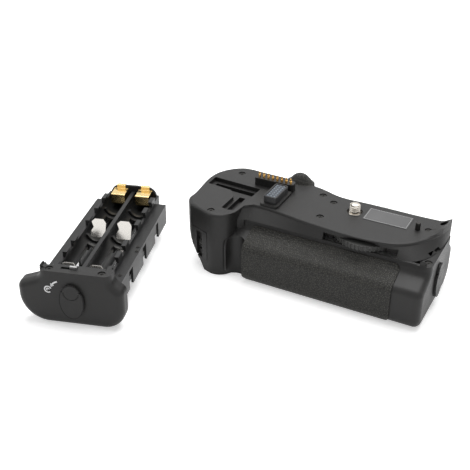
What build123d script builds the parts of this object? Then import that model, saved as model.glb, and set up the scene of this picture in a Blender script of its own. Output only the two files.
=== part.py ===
# Camera battery grip: the grip with its battery holder, and a cell magazine standing beside it
from build123d import *
from math import acos, atan, cos, degrees, pi, radians, sin, sqrt, tan
import os

os.makedirs("parts", exist_ok=True)

# Fits shared by every piece, in millimetres
gap = 0.3
running = 0.05
overrun = 1.0

# The case, with the tripod socket's mouth at the origin and the camera above
cell_length = 50.5
end_room = 51.0
case_length = 2 * cell_length + end_room
case_depth = 61.0
case_height = 42.0
deck_thick = 7.0
deck_round = 1.6
deck_steps = 3
seam_z = case_height - deck_thick
wall = 1.5
floor_thick = 4.0
mouth_share = 0.3092
mouth_x = mouth_share * case_length
edge_round = 0.8

# The section that the lower shell and both end caps share
section_front_share = -0.6721
section_back_share = 0.3279
flat_front_share = -0.4508
flat_back_share = 0.2213
section_front = section_front_share * case_depth
section_back = section_back_share * case_depth
flat_front = flat_front_share * case_depth
flat_back = flat_back_share * case_depth
crease_drop = 5.5
shoulder_drop = 10.5
crease_z = seam_z - crease_drop
shoulder_z = seam_z - shoulder_drop
crease_radius = 5.0
shoulder_radius = 4.5
toe_share = 0.265
heel_share = 0.49
toe_radius = toe_share * shoulder_z
heel_radius = heel_share * shoulder_z

# The battery chamber: a narrow upper part and a wide lower part, under the mechanism plate
lobe_inner_share = -0.388
lower_start_share = -0.434
lower_start_x = lower_start_share * case_length
chamber_mid = (flat_front + flat_back) / 2
chamber_half = (flat_back - flat_front) / 2 - wall
rail_reach = 4.6
rail_drop = 9.7
plate_thick = 1.0
chamber_top = seam_z - plate_thick
wide_half = chamber_half + rail_reach
wide_top = seam_z - rail_drop

# The lobe that carries the vertical shutter release, and the valley beside the rubber
lobe_cut_drop = 8.0
lobe_cut_top = seam_z - lobe_cut_drop
lobe_cut_inset = 17.0
valley_radius = 6.0
valley_x_share = -0.387
valley_y_share = -0.664
valley_x = valley_x_share * case_length
valley_y = valley_y_share * case_depth
valley_top = crease_z + wall

# The top: stow recess, contact block, connector and small parts
recess_depth = 2.6
channel_depth = 5.4
block_height = 5.0
block_round = 1.8
pin_count = 8
pin_pitch = 3.03
pin_radius = 0.75
pin_rise = 8.5
pin_top = case_height + pin_rise
pin_travel = 2.0
plinth_height = 1.6
plinth_width = 11.7
plinth_depth = 22.0
connector_x = -47.6
connector_y = -8.5
connector_width = 8.5
connector_depth = 18.0
connector_height = 4.4
contact_skirt = 1.3
label_width = 26.5
label_depth = 13.7
label_thick = 0.2
label_x = 20.2
label_y = 1.2
guide_radius = 1.5
guide_shank_radius = 1.1
guide_height = 4.7
guide_x = 39.1
guide_y = -2.5
guide_sunk = 3.0
spare_hole_radius = 2.2
spare_hole_depth = 4.0
ear_rise = 4.6
ear_length = 11.5
ear_depth = 11.0
screw_head_radius = 1.9
screw_head_height = 1.0
screw_shank_radius = 0.9
screw_length = 4.2
screw_sunk = 0.5

# The mounting screw and the wheel that turns it
thread_radius = 3.175
thread_height = 5.5
collar_radius = 4.65
collar_sunk = 0.7
collar_top = case_height - collar_sunk
wheel_x = 12.0
wheel_y = -9.0
wheel_proud = 2.0
wheel_radius = wheel_y - flat_front + wheel_proud
wheel_thick = 3.2
knurl_count = 54
knurl_depth = 0.55
gear_module = 1.0
wheel_teeth = 19
screw_teeth = 11
tooth_addendum = 0.7
tooth_dedendum = 1.15
tooth_backlash = 0.45
pressure_angle = 25.0
gear_roof = case_height - 1.5 * edge_round
axle_radius = 1.5
slot_sunk = 2.7
slot_top = case_height - slot_sunk
slot_left = -9.0
slot_right = 35.5
slot_depth = 5.0
brow_left = 1.0
brow_right = 29.0
brow_depth = 3.2
brow_top = case_height - edge_round

# The soft skins
skin = 0.8
rubber_inset = 8.6
rubber_left_share = -0.355
rubber_left = rubber_left_share * case_length
rubber_right = mouth_x - rubber_inset
rubber_top = crease_z + 2 * wall
rubber_foot = 1.2
rubber_corner = 3.5
pad_length = 64.0
pad_width = 34.0
pad_thick = 0.8
pad_corner = 4.0
socket_radius = 6.0

# The end caps and their latches, in a cap's own frame: u across, v into the case, z up
cap_height = seam_z - gap
cap_depth = 8.7
cap_flat_depth = 6.8
cap_step = 1.4
cap_round = 4.0
cap_shell = 2.8
cap_ear_rise = 2.4
cap_ear_width = 3.4
magazine_toe_share = 0.694
magazine_toe = magazine_toe_share * shoulder_z
latch_u = -2.0
latch_drop = 12.0
latch_oval_width = 14.4
latch_oval_height = 22.0
latch_oval_drop = 18.0
latch_plate = 1.4
latch_air = 0.2
latch_head_radius = 4.3
latch_shaft_radius = 2.4
latch_pin_radius = 0.4
latch_pin_ear = 0.5
crank_reach = 2.5
crank_radius = 1.0
crank_slack = 0.2
bolt_thick = 1.4
bolt_v = 4.9
bolt_width = 4.0
bolt_shift = -2.0
bolt_travel = 5.0
bolt_rise = 1.5
bolt_body_width = 9.0
cap_screw_u = 15.0
cap_screw_v = 3.4

# The battery holder and the magazine behind their caps, each as long as two round cells
frame_air = 0.4
frame_half = chamber_half - frame_air
rail_half = wide_half - frame_air
frame_bottom = floor_thick + gap
frame_top = chamber_top - 2 * gap
rail_top = wide_top - gap
rail_thick = 2.0
holder_wall = 1.6
cell_radius = 7.3
cell_pitch = 16.2
spring_room = 1.4
trough_length = 2 * cell_length + spring_room
frame_length = trough_length + 2 * holder_wall
contact_room = 8.0
chamber_end_x = mouth_x - frame_length - contact_room
stand_yaw = 16.9
stand_x = -114.1
stand_y = -124.0


def spots(shares):
    """Turn a table of shares of the case's length and depth into points."""
    return [(x * case_length, y * case_depth) for x, y in shares]


def keep(piece, name):
    """Name a finished piece and write it."""
    piece.label = name
    export_step(piece, f"parts/{name}.step")


def section(plane, top, toe, grow=0.0):
    """The case's section: a flat top, two hollow shoulders and a rounded base."""
    with BuildSketch(plane) as sketch:
        with BuildLine():
            FilletPolyline(
                (flat_front, top),
                (flat_front, crease_z),
                (section_front, shoulder_z),
                (section_front, 0),
                (section_back, 0),
                (section_back, shoulder_z),
                (flat_back, crease_z),
                (flat_back, top),
                radius=(0, crease_radius, shoulder_radius, toe, heel_radius, shoulder_radius, crease_radius, 0),
                close=True,
            )
        make_face()
        if grow:
            offset(amount=grow)
    return sketch.sketch


# Case outline in plan, as shares of the case's length and depth
outline_mid_share = (-0.138, -0.17)
outline_mid_x = outline_mid_share[0] * case_length
outline_mid_y = outline_mid_share[1] * case_depth
lobe_side_shares = (
    (-0.421, 0.341), (-0.566, 0.318), (-0.627, 0.148),
    (-0.6395, -0.131), (-0.63, -0.426), (-0.599, -0.6),
)
lobe_nose_shares = ((-0.503, -0.6885), (-0.4605, -0.6885), (-0.429, -0.631), (-0.413, -0.5245))
flank_share = ((-0.408, -0.41),)
seam_flank_share = ((-0.411, -0.5),)
top_front_shares = (
    (-0.375, -0.338), (-0.266, -0.3525), (-0.164, -0.397), (-0.07, -0.423),
    (0.023, -0.4425), (0.108, -0.441), (0.1875, -0.4115),
)
top_corner_shares = ((0.1875, -0.4115), (0.242, -0.356), (0.2895, -0.246), (0.335, -0.062), (0.363, 0.175))
seam_corner_shares = ((0.303, -0.4), (0.347, -0.22), (0.363, 0.175))
back_shares = (
    (0.332, 0.232), (0.26, 0.222), (0.0, 0.221), (-0.09, 0.222),
    (-0.184, 0.295), (-0.263, 0.325), (-0.421, 0.341),
)


def case_outline(height, front, corner, flank, inset=0.0):
    """The closed outline of the case at one height, drawn in towards its middle."""

    def drawn_in(points):
        length_scale = 1 - 2 * inset / case_length
        depth_scale = 1 - 2 * inset / case_depth
        return [
            (outline_mid_x + (x - outline_mid_x) * length_scale, outline_mid_y + (y - outline_mid_y) * depth_scale)
            for x, y in points
        ]

    lobe_side = drawn_in(spots(lobe_side_shares))
    lobe_nose = drawn_in(spots(lobe_nose_shares))
    back = drawn_in(spots(back_shares))
    front_line = drawn_in(front)
    corner_line = drawn_in(corner)
    with BuildSketch(Plane.XY.offset(height)) as sketch:
        with BuildLine():
            Spline(*lobe_side, tangents=((-1, 0), (1, -1)))
            Line(lobe_side[-1], lobe_nose[0])
            Spline(*lobe_nose)
            Polyline(lobe_nose[-1], *drawn_in([flank]), front_line[0])
            Spline(*front_line)
            Spline(*corner_line)
            Line(corner_line[-1], back[0])
            Spline(*back)
        make_face()
    return sketch.sketch


def gear_face(teeth, phase, height):
    """A gear's face, its flanks involute curves of the stated pressure angle."""
    pitch_radius = teeth * gear_module / 2
    base_radius = pitch_radius * cos(radians(pressure_angle))
    tip = pitch_radius + tooth_addendum * gear_module
    root = pitch_radius - tooth_dedendum * gear_module
    half = pi / (2 * teeth) - tooth_backlash / (2 * pitch_radius)
    involute = tan(radians(pressure_angle)) - radians(pressure_angle)
    start = max(root, base_radius)
    steps = 4
    flank = []
    for step in range(steps + 1):
        radius = start + (tip - start) * step / steps
        angle = acos(min(base_radius / radius, 1))
        flank.append((radius, half + involute - (tan(angle) - angle)))
    points = []
    for tooth in range(teeth):
        middle = radians(phase) + 2 * pi * tooth / teeth
        points.append((root * cos(middle - flank[0][1]), root * sin(middle - flank[0][1])))
        for radius, spread in flank:
            points.append((radius * cos(middle - spread), radius * sin(middle - spread)))
        for radius, spread in reversed(flank):
            points.append((radius * cos(middle + spread), radius * sin(middle + spread)))
        points.append((root * cos(middle + flank[0][1]), root * sin(middle + flank[0][1])))
    with BuildSketch(Plane.XY.offset(height)) as sketch:
        with BuildLine():
            Polyline(*points, close=True)
        make_face()
    return sketch.sketch


# Upper shell: the deck that meets the camera, over the wheel and its gears
screw_spots = spots((
    (-0.159, 0.159), (-0.099, 0.069), (-0.105, -0.243), (0.296, -0.01), (-0.502, -0.62), (-0.535, 0.202),
))
recess_points = spots((
    (-0.618, -0.148), (-0.618, 0.003), (-0.405, -0.021), (-0.41, -0.328), (-0.421, -0.518), (-0.444, -0.541),
    (-0.475, -0.528), (-0.474, -0.282), (-0.507, -0.175), (-0.586, -0.154),
))
bar_channel_points = spots(((-0.6, -0.11), (-0.6, -0.045), (-0.42, -0.062), (-0.42, -0.13)))
leg_channel_points = spots(((-0.462, -0.5), (-0.462, -0.2), (-0.436, -0.2), (-0.436, -0.5)))
seam_start_x = top_front_shares[0][0] * case_length
seam_corner_x = top_corner_shares[0][0] * case_length + cap_depth
wheel_bottom = seam_z + gap
wheel_top = wheel_bottom + wheel_thick
gear_bottom = wheel_top + gap
bolt_x = mouth_x + cap_depth - bolt_v
bolt_y = chamber_mid + latch_u + crank_reach + bolt_shift
screw_head_top = case_height - screw_sunk
ear_x = top_corner_shares[-1][0] * case_length
ear_y = top_corner_shares[-1][1] * case_depth

with BuildPart() as upper_shell:
    seam_front = [(seam_start_x, flat_front), (0, flat_front), (seam_corner_x, flat_front)]
    seam_corner = [(seam_corner_x, flat_front)] + spots(seam_corner_shares)
    seam_face = case_outline(seam_z, seam_front, seam_corner, spots(seam_flank_share)[0])
    rims = [seam_face]
    for step in range(deck_steps + 1):
        turn = pi / 2 * step / deck_steps
        rims.append(case_outline(
            case_height - deck_round * (1 - sin(turn)), spots(top_front_shares), spots(top_corner_shares),
            spots(flank_share)[0], deck_round * (1 - cos(turn)),
        ))
    loft(rims, ruled=True)
    # The ear that hugs the camera's corner
    with BuildSketch(Plane.XZ.offset(-ear_y - wall)):
        with BuildLine():
            Line((ear_x - ear_length, case_height - wall), (ear_x, case_height - wall))
            Line((ear_x, case_height - wall), (ear_x, case_height + ear_rise))
            ThreePointArc(
                (ear_x, case_height + ear_rise),
                (ear_x - ear_length / 3, case_height + ear_rise / 3),
                (ear_x - ear_length, case_height),
            )
            Line((ear_x - ear_length, case_height), (ear_x - ear_length, case_height - wall))
        make_face()
    ear = extrude(amount=ear_depth, mode=Mode.PRIVATE)
    with BuildSketch(Plane.XY.offset(seam_z)) as ear_plan:
        with BuildLine():
            Spline(*spots(top_corner_shares))
            Line(spots(top_corner_shares)[-1], spots(back_shares)[0])
            Polyline(spots(back_shares)[0], (0, spots(back_shares)[0][1]), (0, spots(top_corner_shares)[0][1]))
            Line((0, spots(top_corner_shares)[0][1]), spots(top_corner_shares)[0])
        make_face()
    ear_bound = extrude(ear_plan.sketch, amount=deck_thick + ear_rise + overrun, mode=Mode.PRIVATE)
    add(ear & ear_bound)
    # The stow recess for the camera's battery door
    with BuildSketch(Plane.XY.offset(case_height)):
        with BuildLine():
            Polyline(*recess_points, close=True)
        make_face()
    extrude(amount=-recess_depth, mode=Mode.SUBTRACT)
    for channel_points in (bar_channel_points, leg_channel_points):
        with BuildSketch(Plane.XY.offset(case_height)):
            with BuildLine():
                Polyline(*channel_points, close=True)
            make_face()
        extrude(amount=-channel_depth, mode=Mode.SUBTRACT)
    # Pockets for the wheel and the two gears, open below
    with BuildSketch(Plane.XY.offset(seam_z)):
        with Locations((wheel_x, wheel_y)):
            Circle(wheel_radius + 2 * gap)
    extrude(amount=wheel_top + gap - seam_z, mode=Mode.SUBTRACT)
    with BuildSketch(Plane.XY.offset(seam_z)):
        with Locations((wheel_x, wheel_y)):
            Circle((wheel_teeth / 2 + tooth_addendum) * gear_module + gap)
        Circle((screw_teeth / 2 + tooth_addendum) * gear_module + gap)
    extrude(amount=gear_roof - seam_z, mode=Mode.SUBTRACT)
    with BuildSketch(Plane.XY.offset(seam_z)):
        Circle(collar_radius + running)
    extrude(amount=deck_thick + overrun, mode=Mode.SUBTRACT)
    with BuildSketch(Plane.XY.offset(seam_z)):
        with Locations((wheel_x, wheel_y)):
            Circle(axle_radius)
    extrude(amount=gear_roof + plate_thick / 2 - seam_z, mode=Mode.SUBTRACT)
    # The slot that shows the wheel, and the brow scooped above it
    with BuildSketch(Plane.XY.offset(seam_z)):
        with Locations(((slot_left + slot_right) / 2, flat_front + slot_depth / 2 - overrun)):
            Rectangle(slot_right - slot_left, slot_depth + 2 * overrun)
    extrude(amount=slot_top - seam_z, mode=Mode.SUBTRACT)
    with BuildSketch(Plane.XY.offset(slot_top - overrun)):
        with BuildLine():
            ThreePointArc(
                (brow_left, flat_front),
                ((brow_left + brow_right) / 2, flat_front + brow_depth),
                (brow_right, flat_front),
            )
            Polyline(
                (brow_right, flat_front), (brow_right, flat_front - overrun),
                (brow_left, flat_front - overrun), (brow_left, flat_front),
            )
        make_face()
    extrude(amount=brow_top - slot_top + overrun, mode=Mode.SUBTRACT)
    # Screw pockets, the guide pin's seat, the spare hole and the contact block's bed
    with BuildSketch(Plane.XY.offset(case_height)):
        with Locations(*screw_spots):
            Circle(screw_head_radius + gap)
    extrude(amount=-(screw_sunk + screw_head_height), mode=Mode.SUBTRACT)
    with BuildSketch(Plane.XY.offset(case_height)):
        with Locations(*screw_spots):
            Circle(screw_shank_radius)
    extrude(amount=-(screw_sunk + screw_length), mode=Mode.SUBTRACT)
    with BuildSketch(Plane.XY.offset(case_height)):
        with Locations((guide_x, guide_y)):
            Circle(guide_shank_radius)
    extrude(amount=-guide_sunk, mode=Mode.SUBTRACT)
    with BuildSketch(Plane.XY.offset(case_height + ear_rise)):
        with Locations((ear_x - ear_length / 3, ear_y - spare_hole_radius)):
            Circle(spare_hole_radius)
    extrude(amount=-(ear_rise + spare_hole_depth), mode=Mode.SUBTRACT)
    # The channel that lets the holder's bolt in, and the catch it turns behind
    bolt_slot = bolt_width + 2 * gap
    with BuildSketch(Plane.XY.offset(seam_z)):
        with Locations(((bolt_x - bolt_thick / 2 - gap + ear_x + cap_depth) / 2, bolt_y)):
            Rectangle(ear_x + cap_depth - (bolt_x - bolt_thick / 2 - gap), bolt_slot)
        with Locations((bolt_x, bolt_y - bolt_travel / 2)):
            Rectangle(bolt_thick + 2 * gap, bolt_slot + bolt_travel)
    extrude(amount=bolt_rise, mode=Mode.SUBTRACT)
keep(upper_shell.part, "upper_shell")


# Lower shell: the grip's body around the battery chamber, with the lobe and its pockets
lobe_inner_x = lobe_inner_share * case_length
swell_end_share = -0.0855
swell_end_x = swell_end_share * case_length
swell_bottom = shoulder_z - shoulder_radius
facet_start = spots(lobe_side_shares)[-1]
facet_end = spots(lobe_nose_shares)[0]
facet_run = Vector(*facet_end) - Vector(*facet_start)
facet_along = facet_run.normalized()
facet_out = Vector(facet_along.Y, -facet_along.X)
window_width = 13.6
window_height = 21.0
window_z = 17.0
window_rim_z = 1.8
window_thick = 1.6
dial_radius = 7.6
dial_thick = 4.4
dial_sunk = 1.0
dial_axle_radius = 1.0
dial_axle_length = 9.0
dial_knurl_count = 26
dial_knurl_depth = 0.5
window_middle = (Vector(*facet_start) + Vector(*facet_end)) * 0.5 + Vector(0, 0, window_z)
window_plane = Plane(origin=window_middle, x_dir=facet_along, z_dir=facet_out)
dial_middle = window_middle - facet_out * (dial_radius + dial_sunk)
dial_plane = Plane(origin=dial_middle, x_dir=facet_out, z_dir=facet_along)

release_slope = atan(lobe_cut_inset / lobe_cut_top)
release_out = Vector(-cos(release_slope), 0, -sin(release_slope))
release_x = lobe_side_shares[3][0] * case_length + lobe_cut_inset / 2
release_y = -12.0
release_plane = Plane(
    origin=(release_x, release_y, lobe_cut_top / 2), x_dir=(0, -1, 0), z_dir=release_out
)
button_radius = 4.6
button_stem_radius = 2.0
button_thick = 2.0
button_travel = 1.2
button_proud = 1.0
collar_outer = 8.4
collar_inner = button_radius + gap
collar_proud = 1.4
collar_deep = 1.8
collar_tab = 3.0
release_pocket = 8.0
spring_radius = 2.9
spring_wire = 0.35
spring_turns = 4

rear_dial_x = -79.0
rear_dial_z = 21.0
rear_dial_radius = 9.0
rear_dial_thick = 5.0
rear_dial_proud = 1.6
rear_dial_plane = Plane(
    origin=(rear_dial_x, back_shares[-1][1] * case_depth + rear_dial_proud - rear_dial_radius, rear_dial_z),
    x_dir=(0, 1, 0), z_dir=(1, 0, 0),
)
af_button_x = -64.0
af_button_z = 26.0
af_button_radius = 3.4
af_button_deep = 2.4
af_button_proud = 1.0
af_button_travel = 0.8
af_plane = Plane(
    origin=(af_button_x, back_shares[-1][1] * case_depth, af_button_z), x_dir=(-1, 0, 0), z_dir=(0, 1, 0)
)
selector_x = -22.0
selector_z = 15.5
selector_radius = 5.6
selector_thick = 1.6
selector_proud = 2.2
selector_well_radius = 6.6
selector_well_depth = 3.9
selector_plane = Plane(origin=(selector_x, section_back, selector_z), x_dir=(-1, 0, 0), z_dir=(0, 1, 0))
gimbal_depth = 2.6
gimbal_outer = 3.6
gimbal_inner = 2.2
gimbal_thick = 1.4
gimbal_pin_radius = 0.45
gimbal_pin_reach = 7.6
selector_stem = 1.5
board_x = -80.0
board_y = -8.0
board_length = 24.0
board_width = 34.0
board_thick = 1.2
board_bed = 2.2
base_screw_spots = spots(((-0.36, -0.53), (0.27, -0.53), (0.27, 0.09), (-0.36, 0.2), (-0.48, -0.48), (-0.48, 0.25)))
base_screw_length = 3.6

thumb_x_share = -0.286
thumb_y_share = 0.325
thumb_x = thumb_x_share * case_length
thumb_y = thumb_y_share * case_depth
thumb_half = 9.0
thumb_depth_share = 0.66
thumb_rise = 5.6
thumb_bottom = shoulder_z + overrun
thumb_shares = ((0, 1), (0.35, 0.9), (0.62, 0.55), (0.84, 0.14), (1, 0))

with BuildPart() as lower_shell:
    body_face = section(Plane.YZ.offset(lower_start_x), seam_z, toe_radius)
    extrude(body_face, amount=mouth_x - lower_start_x)
    # The lobe, and the back of the case where it swells below the deck
    with BuildSketch(Plane.XY):
        add(case_outline(0, seam_front, seam_corner, spots(seam_flank_share)[0]))
        with Locations((lobe_inner_x - case_length / 2, 0)):
            Rectangle(case_length, 2 * case_depth, mode=Mode.INTERSECT)
    extrude(amount=seam_z)
    with BuildSketch(Plane.XY.offset(swell_bottom)):
        add(case_outline(0, seam_front, seam_corner, spots(seam_flank_share)[0]))
        with Locations((swell_end_x - case_length / 2, case_depth / 2)):
            Rectangle(case_length, case_depth, mode=Mode.INTERSECT)
    extrude(amount=seam_z - swell_bottom)
    # The lobe's lower corner leans in under the shutter release
    with BuildSketch(Plane.XZ.offset(-case_depth)):
        with BuildLine():
            lobe_left = lobe_side_shares[3][0] * case_length
            Polyline(
                (lobe_left - overrun, -overrun),
                (lobe_left + lobe_cut_inset, -overrun),
                (lobe_left + lobe_cut_inset, 0),
                (lobe_left, lobe_cut_top),
                (lobe_left - overrun, lobe_cut_top),
                close=True,
            )
        make_face()
    extrude(amount=2 * case_depth, mode=Mode.SUBTRACT)
    # The valley between the lobe and the rubber
    with BuildSketch(Plane.XY.offset(-overrun)):
        with BuildLine():
            Polyline(
                (valley_x - valley_radius, valley_y),
                (valley_x - valley_radius, section_front - overrun),
                (valley_x + valley_radius, section_front - overrun),
                (valley_x + valley_radius, valley_y),
            )
            ThreePointArc(
                (valley_x + valley_radius, valley_y),
                (valley_x, valley_y + valley_radius),
                (valley_x - valley_radius, valley_y),
            )
        make_face()
    extrude(amount=valley_top + overrun, mode=Mode.SUBTRACT)
    # The battery chamber, open at the right end and roofed by the mechanism plate
    with BuildSketch(Plane.XY.offset(floor_thick)):
        with Locations(((chamber_end_x + mouth_x + overrun) / 2, chamber_mid)):
            Rectangle(mouth_x + overrun - chamber_end_x, 2 * chamber_half)
    extrude(amount=seam_z - floor_thick + overrun, mode=Mode.SUBTRACT)
    with BuildSketch(Plane.XY.offset(floor_thick)):
        with Locations(((chamber_end_x + mouth_x + overrun) / 2, chamber_mid)):
            Rectangle(mouth_x + overrun - chamber_end_x, 2 * wide_half)
    extrude(amount=wide_top - floor_thick, mode=Mode.SUBTRACT)
    # The base pad's bed and the tripod socket's hole
    with BuildSketch(Plane.XY):
        with Locations((0, chamber_mid)):
            RectangleRounded(pad_length, pad_width, pad_corner)
    extrude(amount=pad_thick, mode=Mode.SUBTRACT)
    with BuildSketch(Plane.XY):
        Circle(socket_radius)
    extrude(amount=floor_thick - gap, mode=Mode.SUBTRACT)
    # The command dial's window, its well and its axle holes on the lobe's facet
    with BuildSketch(window_plane.offset(overrun)):
        Rectangle(window_width, window_height)
    extrude(amount=-(window_thick + overrun), mode=Mode.SUBTRACT)
    with BuildSketch(dial_plane.offset(-dial_thick / 2 - gap)):
        Circle(dial_radius + 2 * gap)
    extrude(amount=dial_thick + 2 * gap, mode=Mode.SUBTRACT)
    with BuildSketch(dial_plane.offset(-dial_axle_length / 2)):
        Circle(dial_axle_radius)
    extrude(amount=dial_axle_length, mode=Mode.SUBTRACT)
    # The shutter release's stepped pocket
    with BuildSketch(release_plane.offset(overrun)):
        Circle(collar_outer + gap)
    extrude(amount=-(collar_deep + overrun), mode=Mode.SUBTRACT)
    with BuildSketch(release_plane):
        Circle(collar_inner)
    extrude(amount=-release_pocket, mode=Mode.SUBTRACT)
    # The rear dial's well and axle, the focus button's bore and the selector's pocket
    with BuildSketch(rear_dial_plane.offset(-rear_dial_thick / 2 - gap)):
        Circle(rear_dial_radius + 2 * gap)
    extrude(amount=rear_dial_thick + 2 * gap, mode=Mode.SUBTRACT)
    with BuildSketch(rear_dial_plane.offset(-dial_axle_length / 2)):
        Circle(dial_axle_radius)
    extrude(amount=dial_axle_length, mode=Mode.SUBTRACT)
    with BuildSketch(af_plane.offset(overrun)):
        Circle(af_button_radius + running)
    extrude(amount=-(af_button_deep + af_button_travel + overrun), mode=Mode.SUBTRACT)
    with BuildSketch(selector_plane.offset(overrun)):
        Circle(selector_well_radius)
    extrude(amount=-(selector_well_depth + overrun), mode=Mode.SUBTRACT)
    with BuildSketch(Plane.YZ.offset(selector_x - gimbal_pin_reach)):
        with Locations((section_back - gimbal_depth, selector_z)):
            Circle(gimbal_pin_radius + running)
    extrude(amount=2 * gimbal_pin_reach, mode=Mode.SUBTRACT)
    # The circuit board's bed
    with BuildSketch(Plane.XY.offset(seam_z)):
        with Locations((board_x, board_y)):
            Rectangle(board_length + 2 * running, board_width + 2 * running)
    extrude(amount=-board_bed, mode=Mode.SUBTRACT)
    # Holes for the case screws in the base
    with BuildSketch(Plane.XY):
        with Locations(*base_screw_spots):
            Circle(screw_head_radius + gap)
    extrude(amount=screw_sunk + screw_head_height, mode=Mode.SUBTRACT)
    with BuildSketch(Plane.XY):
        with Locations(*base_screw_spots):
            Circle(screw_shank_radius)
    extrude(amount=base_screw_length, mode=Mode.SUBTRACT)
keep(lower_shell.part, "lower_shell")


# Mechanism plate: roofs the chamber and carries the wheel's axle
with BuildPart() as mechanism_plate:
    with BuildSketch(Plane.XY.offset(chamber_top)):
        with Locations(((chamber_end_x + mouth_x) / 2, chamber_mid)):
            Rectangle(mouth_x - chamber_end_x - 2 * running, 2 * (chamber_half - running))
        with Locations((wheel_x, wheel_y)):
            Circle(axle_radius, mode=Mode.SUBTRACT)
    extrude(amount=plate_thick)
keep(mechanism_plate.part, "mechanism_plate")


def ribbed_face(plane, radius, count, depth):
    """A round face with square ribs round its rim."""
    points = []
    for rib in range(count):
        for share, height in ((-0.25, 0), (-0.17, depth), (0.17, depth), (0.25, 0)):
            angle = 2 * pi * (rib + share) / count
            reach = radius - depth + height
            points.append((reach * cos(angle), reach * sin(angle)))
    with BuildSketch(plane) as sketch:
        with BuildLine():
            Polyline(*points, close=True)
        make_face()
    return sketch.sketch


# Attachment wheel: a knurled disc with its gear moulded on top
wheel_bearing = Vector(-wheel_x, -wheel_y)
screw_bearing = Vector(wheel_x, wheel_y)
wheel_phase = Vector(1, 0).get_signed_angle(wheel_bearing)
screw_phase = Vector(1, 0).get_signed_angle(screw_bearing) + 180 / screw_teeth
with BuildPart() as attachment_wheel:
    rim = ribbed_face(Plane((wheel_x, wheel_y, wheel_bottom)), wheel_radius, knurl_count, knurl_depth)
    extrude(rim, amount=wheel_thick)
    wheel_gear = Location((wheel_x, wheel_y, 0)) * gear_face(wheel_teeth, wheel_phase, wheel_top)
    extrude(wheel_gear, amount=gear_roof - gap - wheel_top)
    with BuildSketch(Plane((wheel_x, wheel_y, wheel_bottom))):
        Circle(axle_radius + running)
    extrude(amount=case_height - wheel_bottom, mode=Mode.SUBTRACT)
keep(attachment_wheel.part, "attachment_wheel")

# Wheel axle: a steel pin from the mechanism plate into the deck
with BuildPart() as wheel_axle:
    with BuildSketch(Plane((wheel_x, wheel_y, chamber_top))):
        Circle(axle_radius)
    extrude(amount=gear_roof + plate_thick / 2 - chamber_top)
keep(wheel_axle.part, "wheel_axle")

# Mounting screw: its gear, the collar that runs in the deck, and the thread
with BuildPart() as tripod_screw:
    extrude(gear_face(screw_teeth, screw_phase, gear_bottom), amount=gear_roof - running - gear_bottom)
    with BuildSketch(Plane.XY.offset(gear_roof - running)):
        Circle(collar_radius)
    extrude(amount=collar_top - gear_roof + running)
    with BuildSketch(Plane.XY.offset(collar_top)):
        Circle(thread_radius)
    extrude(amount=case_height + thread_height - collar_top)
    chamfer(tripod_screw.edges().sort_by(Axis.Z)[-1], edge_round)
keep(tripod_screw.part, "tripod_screw")

# Contact block with its sprung pins
block_points = spots(((-0.4445, 0.043), (-0.2765, 0.057), (-0.2765, 0.15), (-0.4445, 0.137)))
pin_row_y = spots(((0, 0.085),))[0][1]
pin_row_x = spots(((-0.36, 0),))[0][0]
with BuildPart() as contact_block:
    with BuildSketch(Plane.XY.offset(case_height)):
        with BuildLine():
            FilletPolyline(*block_points, radius=(edge_round, block_round, block_round, edge_round), close=True)
        make_face()
    extrude(amount=block_height)
    with BuildSketch(Plane.XY.offset(case_height)):
        with Locations((pin_row_x, pin_row_y)):
            with GridLocations(pin_pitch, pin_pitch, pin_count, 1):
                Circle(pin_radius + running)
    extrude(amount=block_height, mode=Mode.SUBTRACT)
keep(contact_block.part, "contact_block")

with BuildPart() as contact_pins:
    with BuildSketch(Plane.XY.offset(case_height + pin_travel + gap)):
        with Locations((pin_row_x, pin_row_y)):
            with GridLocations(pin_pitch, pin_pitch, pin_count, 1):
                Circle(pin_radius)
    extrude(amount=pin_top - case_height - pin_travel - gap)
    chamfer(contact_pins.faces().filter_by(Axis.Z).group_by(Axis.Z)[-1].edges(), pin_radius / 3)
keep(contact_pins.part, "contact_pins")

# Connector plinth, and the soft cap that lifts off it
with BuildPart() as connector_plinth:
    with BuildSketch(Plane((connector_x, connector_y, case_height))):
        RectangleRounded(plinth_width, plinth_depth, block_round)
    extrude(amount=plinth_height)
    with BuildSketch(Plane((connector_x, connector_y, case_height + plinth_height))):
        Rectangle(connector_width - 2 * contact_skirt - 2 * gap, connector_depth - 2 * contact_skirt - 2 * gap)
    extrude(amount=connector_height / 2)
keep(connector_plinth.part, "connector_plinth")

with BuildPart() as connector_cap:
    with BuildSketch(Plane((connector_x, connector_y, case_height + plinth_height))):
        Rectangle(connector_width, connector_depth)
    extrude(amount=connector_height)
    chamfer(connector_cap.faces().sort_by(Axis.Z)[-1].edges().sort_by(Axis.Y)[0], contact_skirt)
    fillet(connector_cap.edges().filter_by(Axis.Z), edge_round)
    with BuildSketch(Plane((connector_x, connector_y, case_height + plinth_height))):
        Rectangle(connector_width - 2 * contact_skirt, connector_depth - 2 * contact_skirt)
    extrude(amount=connector_height / 2 + gap, mode=Mode.SUBTRACT)
keep(connector_cap.part, "connector_cap")

# Guide pin, label plate and the deck's screws
with BuildPart() as guide_pin:
    with BuildSketch(Plane((guide_x, guide_y, case_height))):
        Circle(guide_radius)
    extrude(amount=guide_height)
    fillet(guide_pin.edges().sort_by(Axis.Z)[-1], guide_radius / 3)
    with BuildSketch(Plane((guide_x, guide_y, case_height - guide_sunk))):
        Circle(guide_shank_radius)
    extrude(amount=guide_sunk)
keep(guide_pin.part, "guide_pin")

with BuildPart() as label_plate:
    with BuildSketch(Plane((label_x, label_y, case_height))):
        Rectangle(label_width, label_depth)
    extrude(amount=label_thick)
keep(label_plate.part, "label_plate")


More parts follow.
